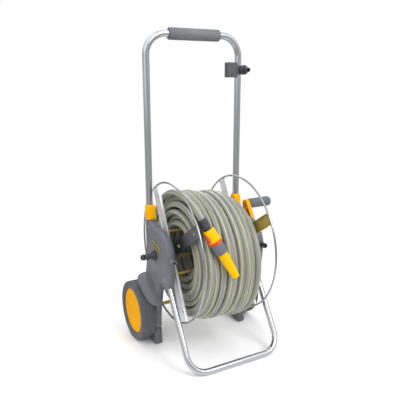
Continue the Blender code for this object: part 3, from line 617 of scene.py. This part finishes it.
def around_reel(x, radius, degrees):
    """A point at a radius and angle about the reel axis (0 is straight ahead, 90 is up)."""
    angle = math.radians(degrees)
    return Vector((x, REEL.y - radius * math.cos(angle), REEL.z + radius * math.sin(angle)))


# ---- pieces
def paint(mesh, finish, sharp):
    """Give a mesh its finish, smooth but for edges sharper than an angle in degrees."""
    mesh.materials.clear()
    mesh.materials.append(FINISHES[finish][1])
    mesh.shade_smooth()
    mesh.set_sharp_from_angle(angle=math.radians(sharp))


def piece(thing, finish, body, *nodes, sharp=32):
    """Add a shape to the cart: its material, its CAD body and the CAD nodes it stands for."""
    bpy.context.scene.collection.objects.link(thing)
    thing.data.transform(Matrix.Translation(ORIGIN) @ thing.matrix_world)
    thing.matrix_world = Matrix.Identity(4)
    paint(thing.data, finish, sharp)
    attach(thing, body)
    if nodes:
        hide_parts(*nodes)
    return thing


def turned_piece(name, profile, origin, axis, steps, finish, body, *nodes, closed=False, soft=None, sharp=32):
    """A turned solid, added to the cart, its profile softened by a (radius, steps) pair when one is given."""
    if soft:
        profile = soften(profile, *soft, closed)
    return piece(turned(name, profile, origin, axis, steps, closed), finish, body, *nodes, sharp=sharp)


def repaint(finish, *nodes, sharp=32):
    """Give CAD nodes that keep their own shape a finished material."""
    for name in nodes:
        paint(frame["nodes"][name].data, finish, sharp)


# ---- the hose, one length from end to end
HOSE_RADIUS = 0.0091
STRAND_PITCH = 0.0192  # from one turn to the next along the drum
LAYER_STEP = 0.0178  # from one layer to the next
LAYERS = 6
FIRST_LAYER_RADIUS = 0.0970
TURN_STEPS = 36  # centreline points for each turn
TUBE_SIDES = 14
COIL_LEFT_X, COIL_RIGHT_X = -0.0945, 0.0745
TOP_LAYER_LEFT_X, TOP_LAYER_RIGHT_X = -0.0760, 0.0650
OUTLET_X = -0.0600
OUTLET_TIP_RADIUS = 0.0583
OUTLET_ANGLE = 22.5
ELBOW_CLIMB = 0.0057  # from the outlet's tip to the hose's centreline
COIL_START_ANGLE = OUTLET_ANGLE - 14.0
FIRST_CROSSING = 0.53  # turns from the outlet to the left end of the drum
LAYER_CHANGE = 0.30  # turns that the hose takes to climb to the next layer
# the wound layers hang below the shaft: the first layer, the top one, and how that grows to the right
FIRST_SAG, TOP_SAG, TOP_SAG_SLOPE = 0.0135, 0.0222, 0.12
LEAD_SAG, LEAD_DROP, LEAD_GAP = 0.0045, 0.0030, 16.0
SHORTEST_SWING = 200.0  # degrees that the last turn needs to swing over to the lead
DIP_DEPTH, DIP_WIDTH = 0.0140, 0.027  # how the turns give way under the nozzle
CONNECTOR_START = Vector((-0.1030, -0.2365, 0.4465))
# the lead's (x, radius, angle) about the reel, then its last places before the nut
LEAD = ((-0.0945, 0.1765, 112), (-0.0950, 0.1765, 99), (-0.0972, 0.1775, 87), (-0.0995, 0.1812, 76),
        (-0.1025, 0.1905, 65), (-0.1050, 0.2015, 55))
LEAD_END = ((-0.1065, -0.2117, 0.4663), (-0.1079, -0.2211, 0.4634), (-0.1076, -0.2294, 0.4578))


def ease(share):
    """A smooth step from 0 to 1."""
    share = min(1.0, max(0.0, share))
    return share * share * (3 - 2 * share)


def nozzle_dip(place, radius):
    """How far the turns under the nozzle are pressed inwards at a place."""
    from_start = place - CONNECTOR_START
    along = from_start.dot(NOZZLE_RUN)
    beside = from_start - NOZZLE_RUN * along
    outward = Vector((0, place.y - REEL.y, place.z - REEL.z)).normalized()
    lateral = (beside - outward * beside.dot(outward)).length
    deep = DIP_DEPTH * ease((along - 0.030) / 0.035) * (1 - 0.9 * ease((along - 0.095) / 0.075))
    share = max(0.0, radius - FIRST_LAYER_RADIUS) / (LAYER_STEP * (LAYERS - 1))
    return deep * share * math.exp(-(lateral / DIP_WIDTH) ** 2)


def coil_route():
    """The wound turns, from the shaft's outlet to the top layer's last turn."""
    # turn count, x and layer at each knot
    knots = [(0.0, OUTLET_X, 0.0), (FIRST_CROSSING, COIL_LEFT_X, 0.0)]
    for layer in range(LAYERS):
        top = layer == LAYERS - 1
        left, right = (TOP_LAYER_LEFT_X, TOP_LAYER_RIGHT_X) if top else (COIL_LEFT_X, COIL_RIGHT_X)
        start, stop = (left, right) if layer % 2 == 0 else (right, left)
        turn = knots[-1][0]
        if layer:
            turn += LAYER_CHANGE
            knots.append((turn, start, layer))
        knots.append((turn + abs(stop - start) / STRAND_PITCH, stop, layer))
    total = knots[-1][0]
    end_angle = COIL_START_ANGLE - 360.0 * total
    # the last turn swings over to the lead, which starts at the first angle of LEAD
    left_over = (end_angle - LEAD[0][2]) % 360.0
    if left_over < SHORTEST_SWING:
        left_over += 360.0
    last_turn = total + (left_over - LEAD_GAP) / 360.0
    points = []
    steps = int(last_turn * TURN_STEPS)
    spot = 0
    for step in range(steps + 1):
        turn = step / TURN_STEPS
        while spot < len(knots) - 2 and turn > knots[spot + 1][0]:
            spot += 1
        (t0, x0, k0), (t1, x1, k1) = knots[spot], knots[spot + 1]
        share = min(1.0, max(0.0, (turn - t0) / (t1 - t0)))
        x = x0 + (x1 - x0) * share
        layer = k0 + (k1 - k0) * ease(share)
        radius = FIRST_LAYER_RADIUS + LAYER_STEP * layer
        sag = FIRST_SAG + (TOP_SAG + TOP_SAG_SLOPE * x - FIRST_SAG) * layer / (LAYERS - 1)
        if turn < knots[1][0]:
            # the hose leaves the elbow below the first layer and rises to it
            rise = (radius - OUTLET_TIP_RADIUS - ELBOW_CLIMB) * ease(0.15 + 0.85 * share)
            radius = OUTLET_TIP_RADIUS + ELBOW_CLIMB + rise
            sag *= ease(share)
        if turn > total:
            home = ease((turn - total) / (last_turn - total))
            x += (LEAD[0][0] - x) * home
            radius -= LEAD_DROP * home
            sag += (LEAD_SAG - sag) * ease(home)
        # no two turns lie alike, except at both ends of the coil
        wander = 0.0016 * math.sin(turn * 2.39 + layer) + 0.0009 * math.sin(turn * 7.1 + 2.0 * layer)
        swell = 0.0022 * math.sin(turn * 1.73 + 1.3 * layer) + 0.0009 * math.sin(turn * 5.3)
        inside = ease((turn - 0.6) / 1.0) * (1.0 if turn < total else 1 - ease((turn - total) / 0.4))
        x += wander * inside
        radius += swell * inside
        angle = math.radians(COIL_START_ANGLE - 360.0 * turn)
        outward = Vector((0.0, -math.cos(angle), math.sin(angle)))
        place = Vector((x, REEL.y, REEL.z - sag)) + outward * radius
        points.append(place - outward * nozzle_dip(place, radius))
    return points


def hose_route():
    """The whole centreline: the wound turns, then the lead into the nut."""
    start = CONNECTOR_START
    lead = [around_reel(*spot) for spot in LEAD] + [Vector(p) for p in LEAD_END]
    lead += [start - NOZZLE_RUN * 0.0045, start - NOZZLE_RUN * GAP]
    coil = coil_route()
    tail = smooth_path([coil[-1]] + lead, 5)
    return coil[:-1] + tail


def tube_along(name, path, radius, sides):
    """A mesh tube with even sections, and UVs of turns round it and metres along it."""
    work = bmesh.new()
    layer = work.loops.layers.uv.new("length")
    side = Vector((1, 0, 0))
    rings, metres = [], []
    run = 0.0
    for i, place in enumerate(path):
        before, after = path[max(0, i - 1)], path[min(len(path) - 1, i + 1)]
        forward = (after - before).normalized()
        side = (side - forward * side.dot(forward)).normalized()
        up = forward.cross(side)
        if i:
            run += (place - before).length
        spokes = [(side * math.cos(a) + up * math.sin(a)) * radius for a in circle(sides)]
        rings.append([work.verts.new(place + spoke) for spoke in spokes])
        metres.append(run)
    for i, (here, ahead) in enumerate(zip(rings, rings[1:])):
        for k in range(sides):
            following = (k + 1) % sides
            face = work.faces.new((here[k], here[following], ahead[following], ahead[k]))
            corners = ((k, i), (k + 1, i), (k + 1, i + 1), (k, i + 1))
            for loop, (column, row) in zip(face.loops, corners):
                loop[layer].uv = (column / sides, metres[row])
    work.faces.new(rings[0])
    work.faces.new(rings[-1])
    return mesh_thing(name, work), run


def build_hose():
    """The hose, from the shaft's outlet through every turn to the nut, in one length."""
    path = hose_route()
    hose, length = tube_along("garden_hose", path, HOSE_RADIUS, TUBE_SIDES)
    piece(hose, "hose", "reel", "hose_coil", "hose_lead", sharp=60)
    exit_place = around_reel(OUTLET_X, OUTLET_TIP_RADIUS, OUTLET_ANGLE) + ORIGIN
    return hose, length, [p + ORIGIN for p in path], exit_place


# ---- the hose's free end
def fluted(name, profile, origin, axis, steps, cuts, depth, first, last):
    """A turned solid whose skin is pressed in by shallow flutes between two stations along it."""
    def flute(co, reach):
        if not (first < co.z < last and reach > 0.004):
            return None
        fade = ease((co.z - first) / 0.002) * ease((last - co.z) / 0.002)
        return depth * (0.5 + 0.5 * math.cos(cuts * math.atan2(co.y, co.x))) * fade

    return press_in(turned(name, stations(profile), origin, axis, steps), flute)


def stations(profile, step=0.0012):
    """A profile with extra points along its longer straight runs."""
    filled = [profile[0]]
    for a, b in zip(profile, profile[1:]):
        count = max(1, int(abs(b[0] - a[0]) / step))
        for k in range(1, count + 1):
            filled.append((a[0] + (b[0] - a[0]) * k / count, a[1] + (b[1] - a[1]) * k / count))
    return filled


def build_hose_end():
    """Nut, quick connector and spray nozzle, each turned with its ribs, flutes and insert."""
    at, run = CONNECTOR_START, NOZZLE_RUN
    nut = [(0, 0), (0, 0.0110), (0.0012, 0.0120), (0.0030, 0.0125), (0.0235, 0.0125), (0.0250, 0.0118),
           (0.0278, 0.0112), (0.0280, 0)]
    nut_thing = fluted("hose_nut_ribbed", nut, at, run, 72, 18, 0.0009, 0.002, 0.0235)
    parts = [piece(nut_thing, "dark", "reel", "hose_nut", sharp=50)]
    core = [(0.0283, 0), (0.0283, 0.0100), (0.0725, 0.0104), (0.0725, 0)]
    parts.append(turned_piece("connector_core_barrel", core, at, run, 40, "dark", "reel", "connector_core",
                              soft=(0.0006, 3)))
    sleeve = [(0.0328, 0.0111), (0.0328, 0.0150), (0.0350, 0.0165), (0.0500, 0.0180), (0.0515, 0.0175),
              (0.0540, 0.0175), (0.0555, 0.0185), (0.0660, 0.0190), (0.0685, 0.0188), (0.0685, 0.0111)]
    parts.append(turned_piece("connector_sleeve_grip", sleeve, at, run, 64, "yellow", "release_sleeve",
                              "connector_sleeve", closed=True, soft=(0.0007, 3)))
    hem = [(0.0686, 0.0111), (0.0686, 0.0187), (0.0690, 0.0191), (0.0723, 0.0191), (0.0723, 0.0111)]
    parts.append(turned_piece("connector_sleeve_hem", hem, at, run, 64, "orange", "release_sleeve",
                              closed=True, soft=(0.0004, 2)))
    # the pad is a flat plate bent round the sleeve, on the side away from the crank
    left = Vector((-1.0, -0.02, 0.0))
    left = (left - run * left.dot(run)).normalized()
    corners = [(-0.0135, -0.0085), (0.0130, -0.0125), (0.0130, 0.0125), (-0.0135, 0.0085)]
    bent = plate("connector_pad", smooth_outline(corners, 3), 0.0060, frame_at((0, 0, 0), (0, 0, 1)), 0.0008)
    for vert in bent.data.vertices:
        station, around, lift = vert.co.x, vert.co.y / 0.0185, vert.co.z
        reach = 0.0168 + 0.0035 * ease((station + 0.010) / 0.012) * 0.6 + lift * 0.35
        vert.co = Vector((math.cos(around) * reach, math.sin(around) * reach, station))
    bent.matrix_world = frame_at(at + run * 0.0535, run, left)
    parts.append(piece(bent, "orange", "release_sleeve", sharp=45))
    ring = [(0.0728, 0), (0.0728, 0.0180), (0.0764, 0.0184), (0.0764, 0)]
    parts.append(turned_piece("connector_ring_band", ring, at, run, 56, "orange", "reel", "connector_ring",
                              soft=(0.0005, 3)))
    collar = [(0.0767, 0), (0.0767, 0.0178), (0.0775, 0.0182), (0.0860, 0.0184), (0.0880, 0.0176),
              (0.0905, 0.0176), (0.0925, 0.0179), (0.1060, 0.0168), (0.1075, 0.0150), (0.1075, 0)]
    collar_thing = fluted("nozzle_collar_ribbed", collar, at, run, 96, 24, 0.0007, 0.0925, 0.1060)
    parts.append(piece(collar_thing, "slate", "reel", "nozzle_collar", sharp=50))
    tip = [(0.1078, 0), (0.1078, 0.0131), (0.1085, 0.0141), (0.1130, 0.0145), (0.1145, 0.0138),
           (0.1165, 0.0138), (0.1180, 0.0143), (0.1500, 0.0128), (0.1700, 0.0113), (0.1715, 0.0106),
           (0.1735, 0.0104), (0.1750, 0.0109), (0.1815, 0.0102), (0.1826, 0.0094), (0.1826, 0.0052),
           (0.1740, 0.0030), (0.1740, 0)]
    tip_thing = fluted("nozzle_tip_fluted", tip, at, run, 96, 12, 0.0010, 0.1180, 0.1700)
    parts.append(piece(tip_thing, "yellow", "spray_tip", "nozzle_tip", sharp=50))
    return parts


# ---- the handle
HANDLE_BEND = 0.060
GRIP_HALF_LENGTH, GRIP_RADIUS = 0.0830, 0.0172
HOLDER_BOSS = Vector((0.1600, -0.0166, 0.832))
FRONT = Vector((0, -1, 0))


def build_handle():
    """The U tube with its rounded bends, the ribbed grip and the hose-end holder."""
    w, top, low = HANDLE_HALF_WIDTH, HANDLE_TOP_Z, tube_low.z
    path = rounded_path([(-w, 0, low), (-w, 0, top), (w, 0, top), (w, 0, low)], HANDLE_BEND, 20)
    tube = tube_along("handle_tube_bent", path, HANDLE_RADIUS, 44)[0]
    piece(tube, "tube", "handle", "handle_tube", sharp=60)
    half, radius = GRIP_HALF_LENGTH, GRIP_RADIUS
    grip = [(-half, 0.0103), (-half, 0.0140), (-half + 0.0012, 0.0158), (-half + 0.0035, radius),
            (-half + 0.0055, radius), (-half + 0.0065, radius - 0.0007), (-half + 0.0080, radius - 0.0007),
            (-half + 0.0090, radius)]
    grip += [(-along, r) for along, r in reversed(grip)]
    turned_piece("handle_grip_sleeve", grip, (0, 0, top), X_AXIS, 72, "grip", "handle", "handle_grip",
                 closed=True, sharp=40)
    repaint("clip", "holder_clip")
    cap = soften([(0, 0), (0, 0.0145), (0.0095, 0.0145), (0.0110, 0.0130), (0.0135, 0.0118), (0.0135, 0)],
                 0.0006)
    knob = fluted("holder_boss_knob", cap, HOLDER_BOSS, FRONT, 64, 10, 0.0010, 0.001, 0.0095)
    piece(knob, "dark", "handle", "holder_boss", sharp=50)
    stub = [(0, 0), (0, 0.0070), (0.0040, 0.0070), (0.0046, 0.0062), (0.0062, 0.0062), (0.0068, 0.0070),
            (0.018, 0.0068), (0.018, 0.0045), (0.006, 0.0045), (0.006, 0)]
    turned_piece("holder_stub_spigot", stub, HOLDER_BOSS + FRONT * 0.0138, FRONT, 40, "dark", "handle",
                 "holder_stub", soft=(0.0004, 3))
    screw = [(0, 0), (0, 0.0030), (0.0010, 0.0030), (0.0015, 0.0022), (0.0015, 0)]
    for k, z in enumerate((0.8180, 0.8460)):
        turned_piece(f"holder_screw_{k}", screw, (0.1240, -0.0128, z), FRONT, 24, "dark", "handle",
                     soft=(0.0003, 3))


# ---- side panels
PANEL_OUTER_X = 0.1650  # the flat outer face of a side panel
DISC_HEIGHT = 0.0050  # the raised disc round the reel's axis stands this far off it
COLLAR_TOP_Z = 0.4390
PANEL_SCREWS = {"neck": (-0.0150, 0.376), "front": (-0.1270, 0.2450), "leg": (-0.0085, 0.078)}
BADGE_HALF_LENGTH, BADGE_TILT = 0.0208, math.radians(10)


def oblong(radius):
    """The outline of a badge, with round ends of a radius."""
    half = BADGE_HALF_LENGTH
    return arc((half, 0), radius, -90, 90, 13) + arc((-half, 0), radius, 90, 270, 13)


def build_inlet_rim():
    """The raised rim round the tap connector on the left panel."""
    rim = [(0.0035, 0.0110), (0.0050, 0.0200), (0.0062, 0.0196), (0.0064, 0.0180), (0.0052, 0.0110)]
    turned_piece("inlet_boss_rim", rim, (-PANEL_OUTER_X, REEL.y, REEL.z), -X_AXIS, 64, "slate", "frame",
                 closed=True, soft=(0.0005, 2))


def build_panel_fittings(name, side):
    """The trim on a side panel: screws, badge outline, stub and the lip of the lock collar."""
    face_x = PANEL_OUTER_X * side
    outward = X_AXIS * side
    head = [(-0.0012, 0), (-0.0012, 0.0044), (0.0004, 0.0044), (0.0011, 0.0036), (0.0011, 0)]
    for label, (y, z) in PANEL_SCREWS.items():
        place = (face_x, y, z)
        thing = turned(f"panel_screw_{label}_{name}", soften(head, 0.0004), place, outward, 32)
        slot = block("slot", (-0.0026, -0.0004, 0.0004), (0.0026, 0.0004, 0.0030))
        slot.matrix_world = frame_at(place, outward, (0, 0.8, 0.6)) @ Matrix.Translation((0, 0, 0.0017))
        second = block("slot_across", (-0.0004, -0.0026, 0.0004), (0.0004, 0.0026, 0.0030))
        second.matrix_world = slot.matrix_world.copy()
        piece(carve(thing, [slot, second]), "wire", "frame", sharp=30)
    # the badge is a raised oblong outline with nothing written in it
    place = Vector(((PANEL_OUTER_X + DISC_HEIGHT + 0.0012) * side, REEL.y - 0.004, REEL.z + 0.029))
    across = (0, math.cos(BADGE_TILT), math.sin(BADGE_TILT))
    badge = plate(f"badge_outline_{name}", oblong(0.0062), 0.0016, frame_at(place, X_AXIS, across), 0.0003)
    hole = plate("badge_cut", oblong(0.0047), 0.0080, frame_at(place, X_AXIS, across))
    piece(carve(badge, [hole]), "badge", "frame", f"badge_plate_{name}")
    inside = frame_at(place - outward * 0.0003, X_AXIS, across)
    piece(plate(f"badge_field_{name}", oblong(0.0047), 0.0010, inside, 0.0001), "dark", "frame")
    stub = [(0, 0), (0, 0.0088), (0.0030, 0.0084), (0.0045, 0.0068), (0.0110, 0.0068), (0.0125, 0.0078),
            (0.019, 0.0075), (0.019, 0.0045), (0.005, 0.0045), (0.005, 0)]
    start = (0.1535 * side, REEL.y - 0.0745 - 0.0012, 0.310)
    # the right stub is the same slate plastic as the left; the dark plastic on it is painted shade
    turned_piece(f"storage_stub_{name}_spigot", stub, start, FRONT, 40, "slate" if side < 0 else "dark",
                 "frame", f"storage_stub_{name}", soft=(0.0005, 3))
    lip = [(-0.0016, 0.0104), (-0.0016, 0.0116), (0.0010, 0.0116), (0.0010, 0.0104)]
    turned_piece(f"collar_lip_{name}", lip, (HANDLE_HALF_WIDTH * side, 0, COLLAR_TOP_Z), (0, 0, 1), 48,
                 "amber", "frame", closed=True, soft=(0.0005, 3))


# ---- wheels
WHEEL_INNER_X = 0.1670
HUBCAP_FACE = 0.0397  # how far the hubcap's face is from the wheel's inner side
TYRE_SEAT, TYRE_ROLLING, TYRE_GROOVE = 0.0704, 0.0930, 0.0916
TREAD_LUGS, TREAD_LEAN, TREAD_DEPTH = 72, 260.0, 0.0009


def tread_depth(co, reach):
    """How far the tyre's skin is pressed in between two leaning lugs."""
    if reach <= 0.0920:
        return None
    lug = math.cos(TREAD_LUGS * math.atan2(co.y, co.x) + co.z * TREAD_LEAN)
    return TREAD_DEPTH * ease((lug - 0.25) / 0.4)


def build_wheel(name, side):
    """A ribbed tyre and a dished hubcap; the rim and the axle nut keep the CAD's shape."""
    body = f"wheel_{name}"
    centre = Vector((WHEEL_INNER_X * side, WHEEL.y, WHEEL.z))
    axis = X_AXIS * side
    seat, rolling, groove, face = TYRE_SEAT, TYRE_ROLLING, TYRE_GROOVE, HUBCAP_FACE
    tread = [(0.0000, seat), (0.0000, 0.0868), (0.0006, 0.0895), (0.0018, 0.0915), (0.0045, 0.0926),
             (0.0080, rolling), (0.0140, rolling), (0.0147, groove), (0.0168, groove), (0.0175, rolling),
             (0.0275, rolling), (0.0282, groove), (0.0303, groove), (0.0310, rolling), (0.0370, rolling),
             (0.0405, 0.0926), (0.0432, 0.0915), (0.0445, 0.0898), (0.0450, 0.0878), (0.0444, 0.0866),
             (0.0442, 0.0760), (0.0436, 0.0734), (0.0424, 0.0716), (0.0400, 0.0708), (0.0396, seat)]
    tyre = press_in(turned(f"tyre_{name}_treaded", tread, centre, axis, 288, closed=True), tread_depth)
    piece(tyre, "tyre", body, f"tyre_{name}", sharp=45)
    repaint("dark", f"wheel_rim_{name}")
    repaint("wire", f"axle_nut_{name}")
    cap = [(face - 0.0037, 0), (face - 0.0037, 0.0700), (face - 0.0010, 0.0700), (face + 0.0002, 0.0690),
           (face + 0.0002, 0.0672), (face - 0.0005, 0.0664), (face - 0.0002, 0.0500), (face + 0.0008, 0.0300),
           (face + 0.0014, 0.0150), (face + 0.0014, 0)]
    turned_piece(f"hubcap_{name}_disc", cap, centre, axis, 128, "cap", body, f"hubcap_{name}",
                 soft=(0.0005, 3))


# ---- the reel
FLANGE_X = {"left": -0.1205, "right": 0.1085}
ARM_ANGLES = (117.5, 34.0, -62.5, -146.0)
ROD_PITCH, RIVET_PITCH, WELD_PITCH = 0.064, 0.176, 0.2046
SHEET = 0.0015  # thickness of a folded bar
RING_RADIUS, RING_WIRE = 0.208, 0.0028


def torus(name, radius, wire, centre, axis, steps=160):
    """A closed wire ring."""
    matrix = frame_at(centre, axis)
    path = [matrix @ Vector((radius * math.cos(a), radius * math.sin(a), 0)) for a in circle(steps)]
    return pipe(name, path, wire, 7, cyclic=True)


def rivet(name, place, axis, radius, height, finish):
    """A domed rivet head on the reel."""
    dome = [(-0.0004, 0), (-0.0004, radius), (height * 0.35, radius * 0.92), (height * 0.75, radius * 0.62),
            (height, radius * 0.25), (height, 0)]
    turned_piece(name, dome, place, axis, 28, finish, "reel", sharp=60)


def build_reel():
    """Flange rings, spreader rods, rivets and weld beads; the folded bars keep the CAD's shape."""
    bead = [(-0.0035, 0), (-0.0030, 0.0016), (0, 0.0024), (0.0030, 0.0016), (0.0035, 0)]
    for name, x in FLANGE_X.items():
        side = SIDES[name]
        outward = X_AXIS * side
        centre = REEL + X_AXIS * x
        ring = torus(f"flange_ring_{name}_wire", RING_RADIUS, RING_WIRE, centre, X_AXIS)
        piece(ring, "wire", "reel", f"flange_ring_{name}", sharp=60)
        repaint("zinc", f"flange_bar_a_{name}", sharp=25)
        # the left flange's B bar gets the darker galvanised copy as painted shade; the right one's is
        # passivated
        repaint("shaded_zinc" if side < 0 else "brass", f"flange_bar_b_{name}", sharp=25)
        for k, angle in enumerate(ARM_ANGLES):
            # one bar of each pair lies on the outside of the other
            face = x + side * (SHEET + GAP) if k % 2 == 0 else x
            spot = around_reel(face, RIVET_PITCH, angle)
            rivet(f"bar_rivet_{name}_{k}", spot, outward, 0.0036, 0.0020, "wire")
            spot = around_reel(face, ROD_PITCH, angle)
            rivet(f"rod_head_{name}_{k}", spot, outward, 0.0052, 0.0022, "brass")
            for letter, sign in (("a", -1), ("b", 1)):
                seat = around_reel(x, WELD_PITCH, angle + sign * 3.6)
                along = around_reel(x, WELD_PITCH, angle + sign * 3.6 + 90) - REEL - X_AXIS * x
                turned_piece(f"weld_{name}_{k}_{letter}", bead, seat, along, 14, "wire", "reel", sharp=60)
        repaint("dark", f"hub_bush_{name}")
    start, stop = FLANGE_X["left"] + SHEET + 2 * GAP, FLANGE_X["right"] - SHEET - 2 * GAP
    for label, angle in zip(("upper", "front", "lower", "rear"), ARM_ANGLES):
        rod = round_bar(f"spreader_rod_{label}_bar", around_reel(start, ROD_PITCH, angle),
                        around_reel(stop, ROD_PITCH, angle), 0.0042, 0.0006, 36)
        piece(rod, "brass", "reel", f"spreader_rod_{label}")
    repaint("wire", "reel_shaft")
    repaint("dark", "shaft_outlet")
    elbow = smooth_path([around_reel(OUTLET_X, OUTLET_TIP_RADIUS - 0.0060, OUTLET_ANGLE),
                         around_reel(OUTLET_X, OUTLET_TIP_RADIUS + 0.0030, OUTLET_ANGLE - 4),
                         around_reel(OUTLET_X - 0.0004, OUTLET_TIP_RADIUS + 0.0060, OUTLET_ANGLE - 13)], 6)
    piece(pipe("outlet_elbow", elbow, 0.0098, 8), "dark", "reel", sharp=60)


# ---- the crank
CRANK_ANGLE = 121.5
CRANK_INNER_X, CRANK_OUTER_X = 0.1775, 0.1905
CRANK_POCKET = 0.0047  # depth of the pockets in the arm's two faces
CRANK_GRIP_LENGTH = 0.085


def build_crank():
    """The crank arm's webs, the turning grip and the fixings."""
    along = around_reel(0, 1, CRANK_ANGLE) - REEL
    repaint("crank", "crank_arm", sharp=25)
    outline = smooth_outline([(0.026, -0.0096), (0.093, -0.0090), (0.093, 0.0090), (0.026, 0.0096)], 2)
    # the red-orange web on the arm's inner face is painted shade on the amber arm; the outer web keeps the
    # arm's own amber
    for label, x, finish in (("inner", CRANK_INNER_X + CRANK_POCKET, "orange"),
                             ("outer", CRANK_OUTER_X - CRANK_POCKET, "crank")):
        web = plate(f"crank_web_{label}", outline, 0.0008, frame_at(REEL + X_AXIS * x, X_AXIS, along), 0.0002)
        piece(web, finish, "reel")
    repaint("wire", "crank_pin", "crank_screw")
    length = CRANK_GRIP_LENGTH
    grip = [(0, 0.0044), (0, 0.0120), (0.0012, 0.0138), (0.0035, 0.0158), (0.0060, 0.0158), (0.0068, 0.0151),
            (0.0082, 0.0151), (0.0090, 0.0158), (length - 0.0120, 0.0163), (length - 0.0060, 0.0156),
            (length - 0.0025, 0.0132), (length - 0.0006, 0.0098), (length, 0.0070), (length, 0.0044)]
    place = Vector((CRANK_OUTER_X + 0.0008, CRANK_PIN.y, CRANK_PIN.z))
    turned_piece("crank_grip_handle", grip, place, X_AXIS, 56, "crank_grip", "crank_handle", "crank_grip",
                 closed=True, sharp=40)


# ---- the tap connector
NUT_RIBS, NUT_RIB_DEPTH = 16, 0.0010


def nut_depth(co, reach):
    """How far the nut's skin is pressed in between its ribs."""
    if reach <= 0.0125:
        return None
    return NUT_RIB_DEPTH * (0.5 + 0.5 * math.cos(NUT_RIBS * math.atan2(co.y, co.x)))


def build_inlet():
    """The fixed tap connector on the left panel, with its rounded nut and grooves."""
    face = REEL - X_AXIS * (PANEL_OUTER_X + DISC_HEIGHT + GAP)
    spigot = [(-0.0060, 0.0050), (-0.0060, 0.0078), (0, 0.0078), (0, 0.0100), (0.003, 0.0100),
              (0.010, 0.0080), (0.0215, 0.0080), (0.0235, 0.0095), (0.0290, 0.0095), (0.0310, 0.0080),
              (0.0342, 0.0080), (0.0348, 0.0072), (0.0382, 0.0072), (0.0388, 0.0080), (0.0432, 0.0080),
              (0.0445, 0.0068), (0.0445, 0.0050)]
    turned_piece("inlet_spigot_turned", spigot, face, -X_AXIS, 56, "dark", "frame", "inlet_spigot",
                 closed=True, soft=(0.0004, 2))
    repaint("rubber", "inlet_seal")
    nut = [(0, 0.0104), (0, 0.0150), (0.0070, 0.0150), (0.0085, 0.0135), (0.0085, 0.0104)]
    thing = turned("inlet_nut_ribbed", soften(nut, 0.0007, 2, closed=True), face, -X_AXIS, 96, closed=True)
    piece(press_in(thing, nut_depth), "dark", "frame", "inlet_nut", sharp=50)


# ---- the stand
STAND_RADIUS, STAND_BEND = 0.0088, 0.053
STAND_HALF_WIDTH, STAND_FRONT_Y = 0.1495, -0.265
STAND_SOCKET = Vector((0.0, -0.128, 0.220))
STAND_PLUG = 0.038  # how far the tube goes into the panel past the socket's mouth


def build_stand():
    """The bent stand tube, up into both panels."""
    w, y, z = STAND_HALF_WIDTH, STAND_FRONT_Y, STAND_RADIUS
    leg = Vector((0.0, STAND_SOCKET.y - y, STAND_SOCKET.z - z)).normalized()
    top = STAND_SOCKET + leg * STAND_PLUG
    corners = [(-w, top.y, top.z), (-w, y, z), (w, y, z), (w, top.y, top.z)]
    tube = tube_along("stand_tube_bent", rounded_path(corners, STAND_BEND, 20), STAND_RADIUS, 44)[0]
    piece(tube, "stand", "frame", "stand_tube", sharp=60)


# ---- the cart
bpy.context.scene.view_settings.view_transform = "Standard"
build_camera()
build_floor()
build_surround()
build_lights()
FINISHES.update(build_finishes())
hose, hose_length, hose_path, hose_exit = build_hose()
end_pieces = build_hose_end()
build_handle()
build_inlet_rim()
for side_name, side_sign in SIDES.items():
    build_panel_fittings(side_name, side_sign)
    build_wheel(side_name, side_sign)
    repaint("slate", f"side_panel_outer_{side_name}", f"side_panel_inner_{side_name}", sharp=40)
    repaint("amber", f"lock_collar_{side_name}", sharp=40)
    repaint("foot", f"foot_{side_name}", sharp=40)
build_stand()
repaint("brass", "wheel_axle")
build_reel()
build_crank()
build_inlet()
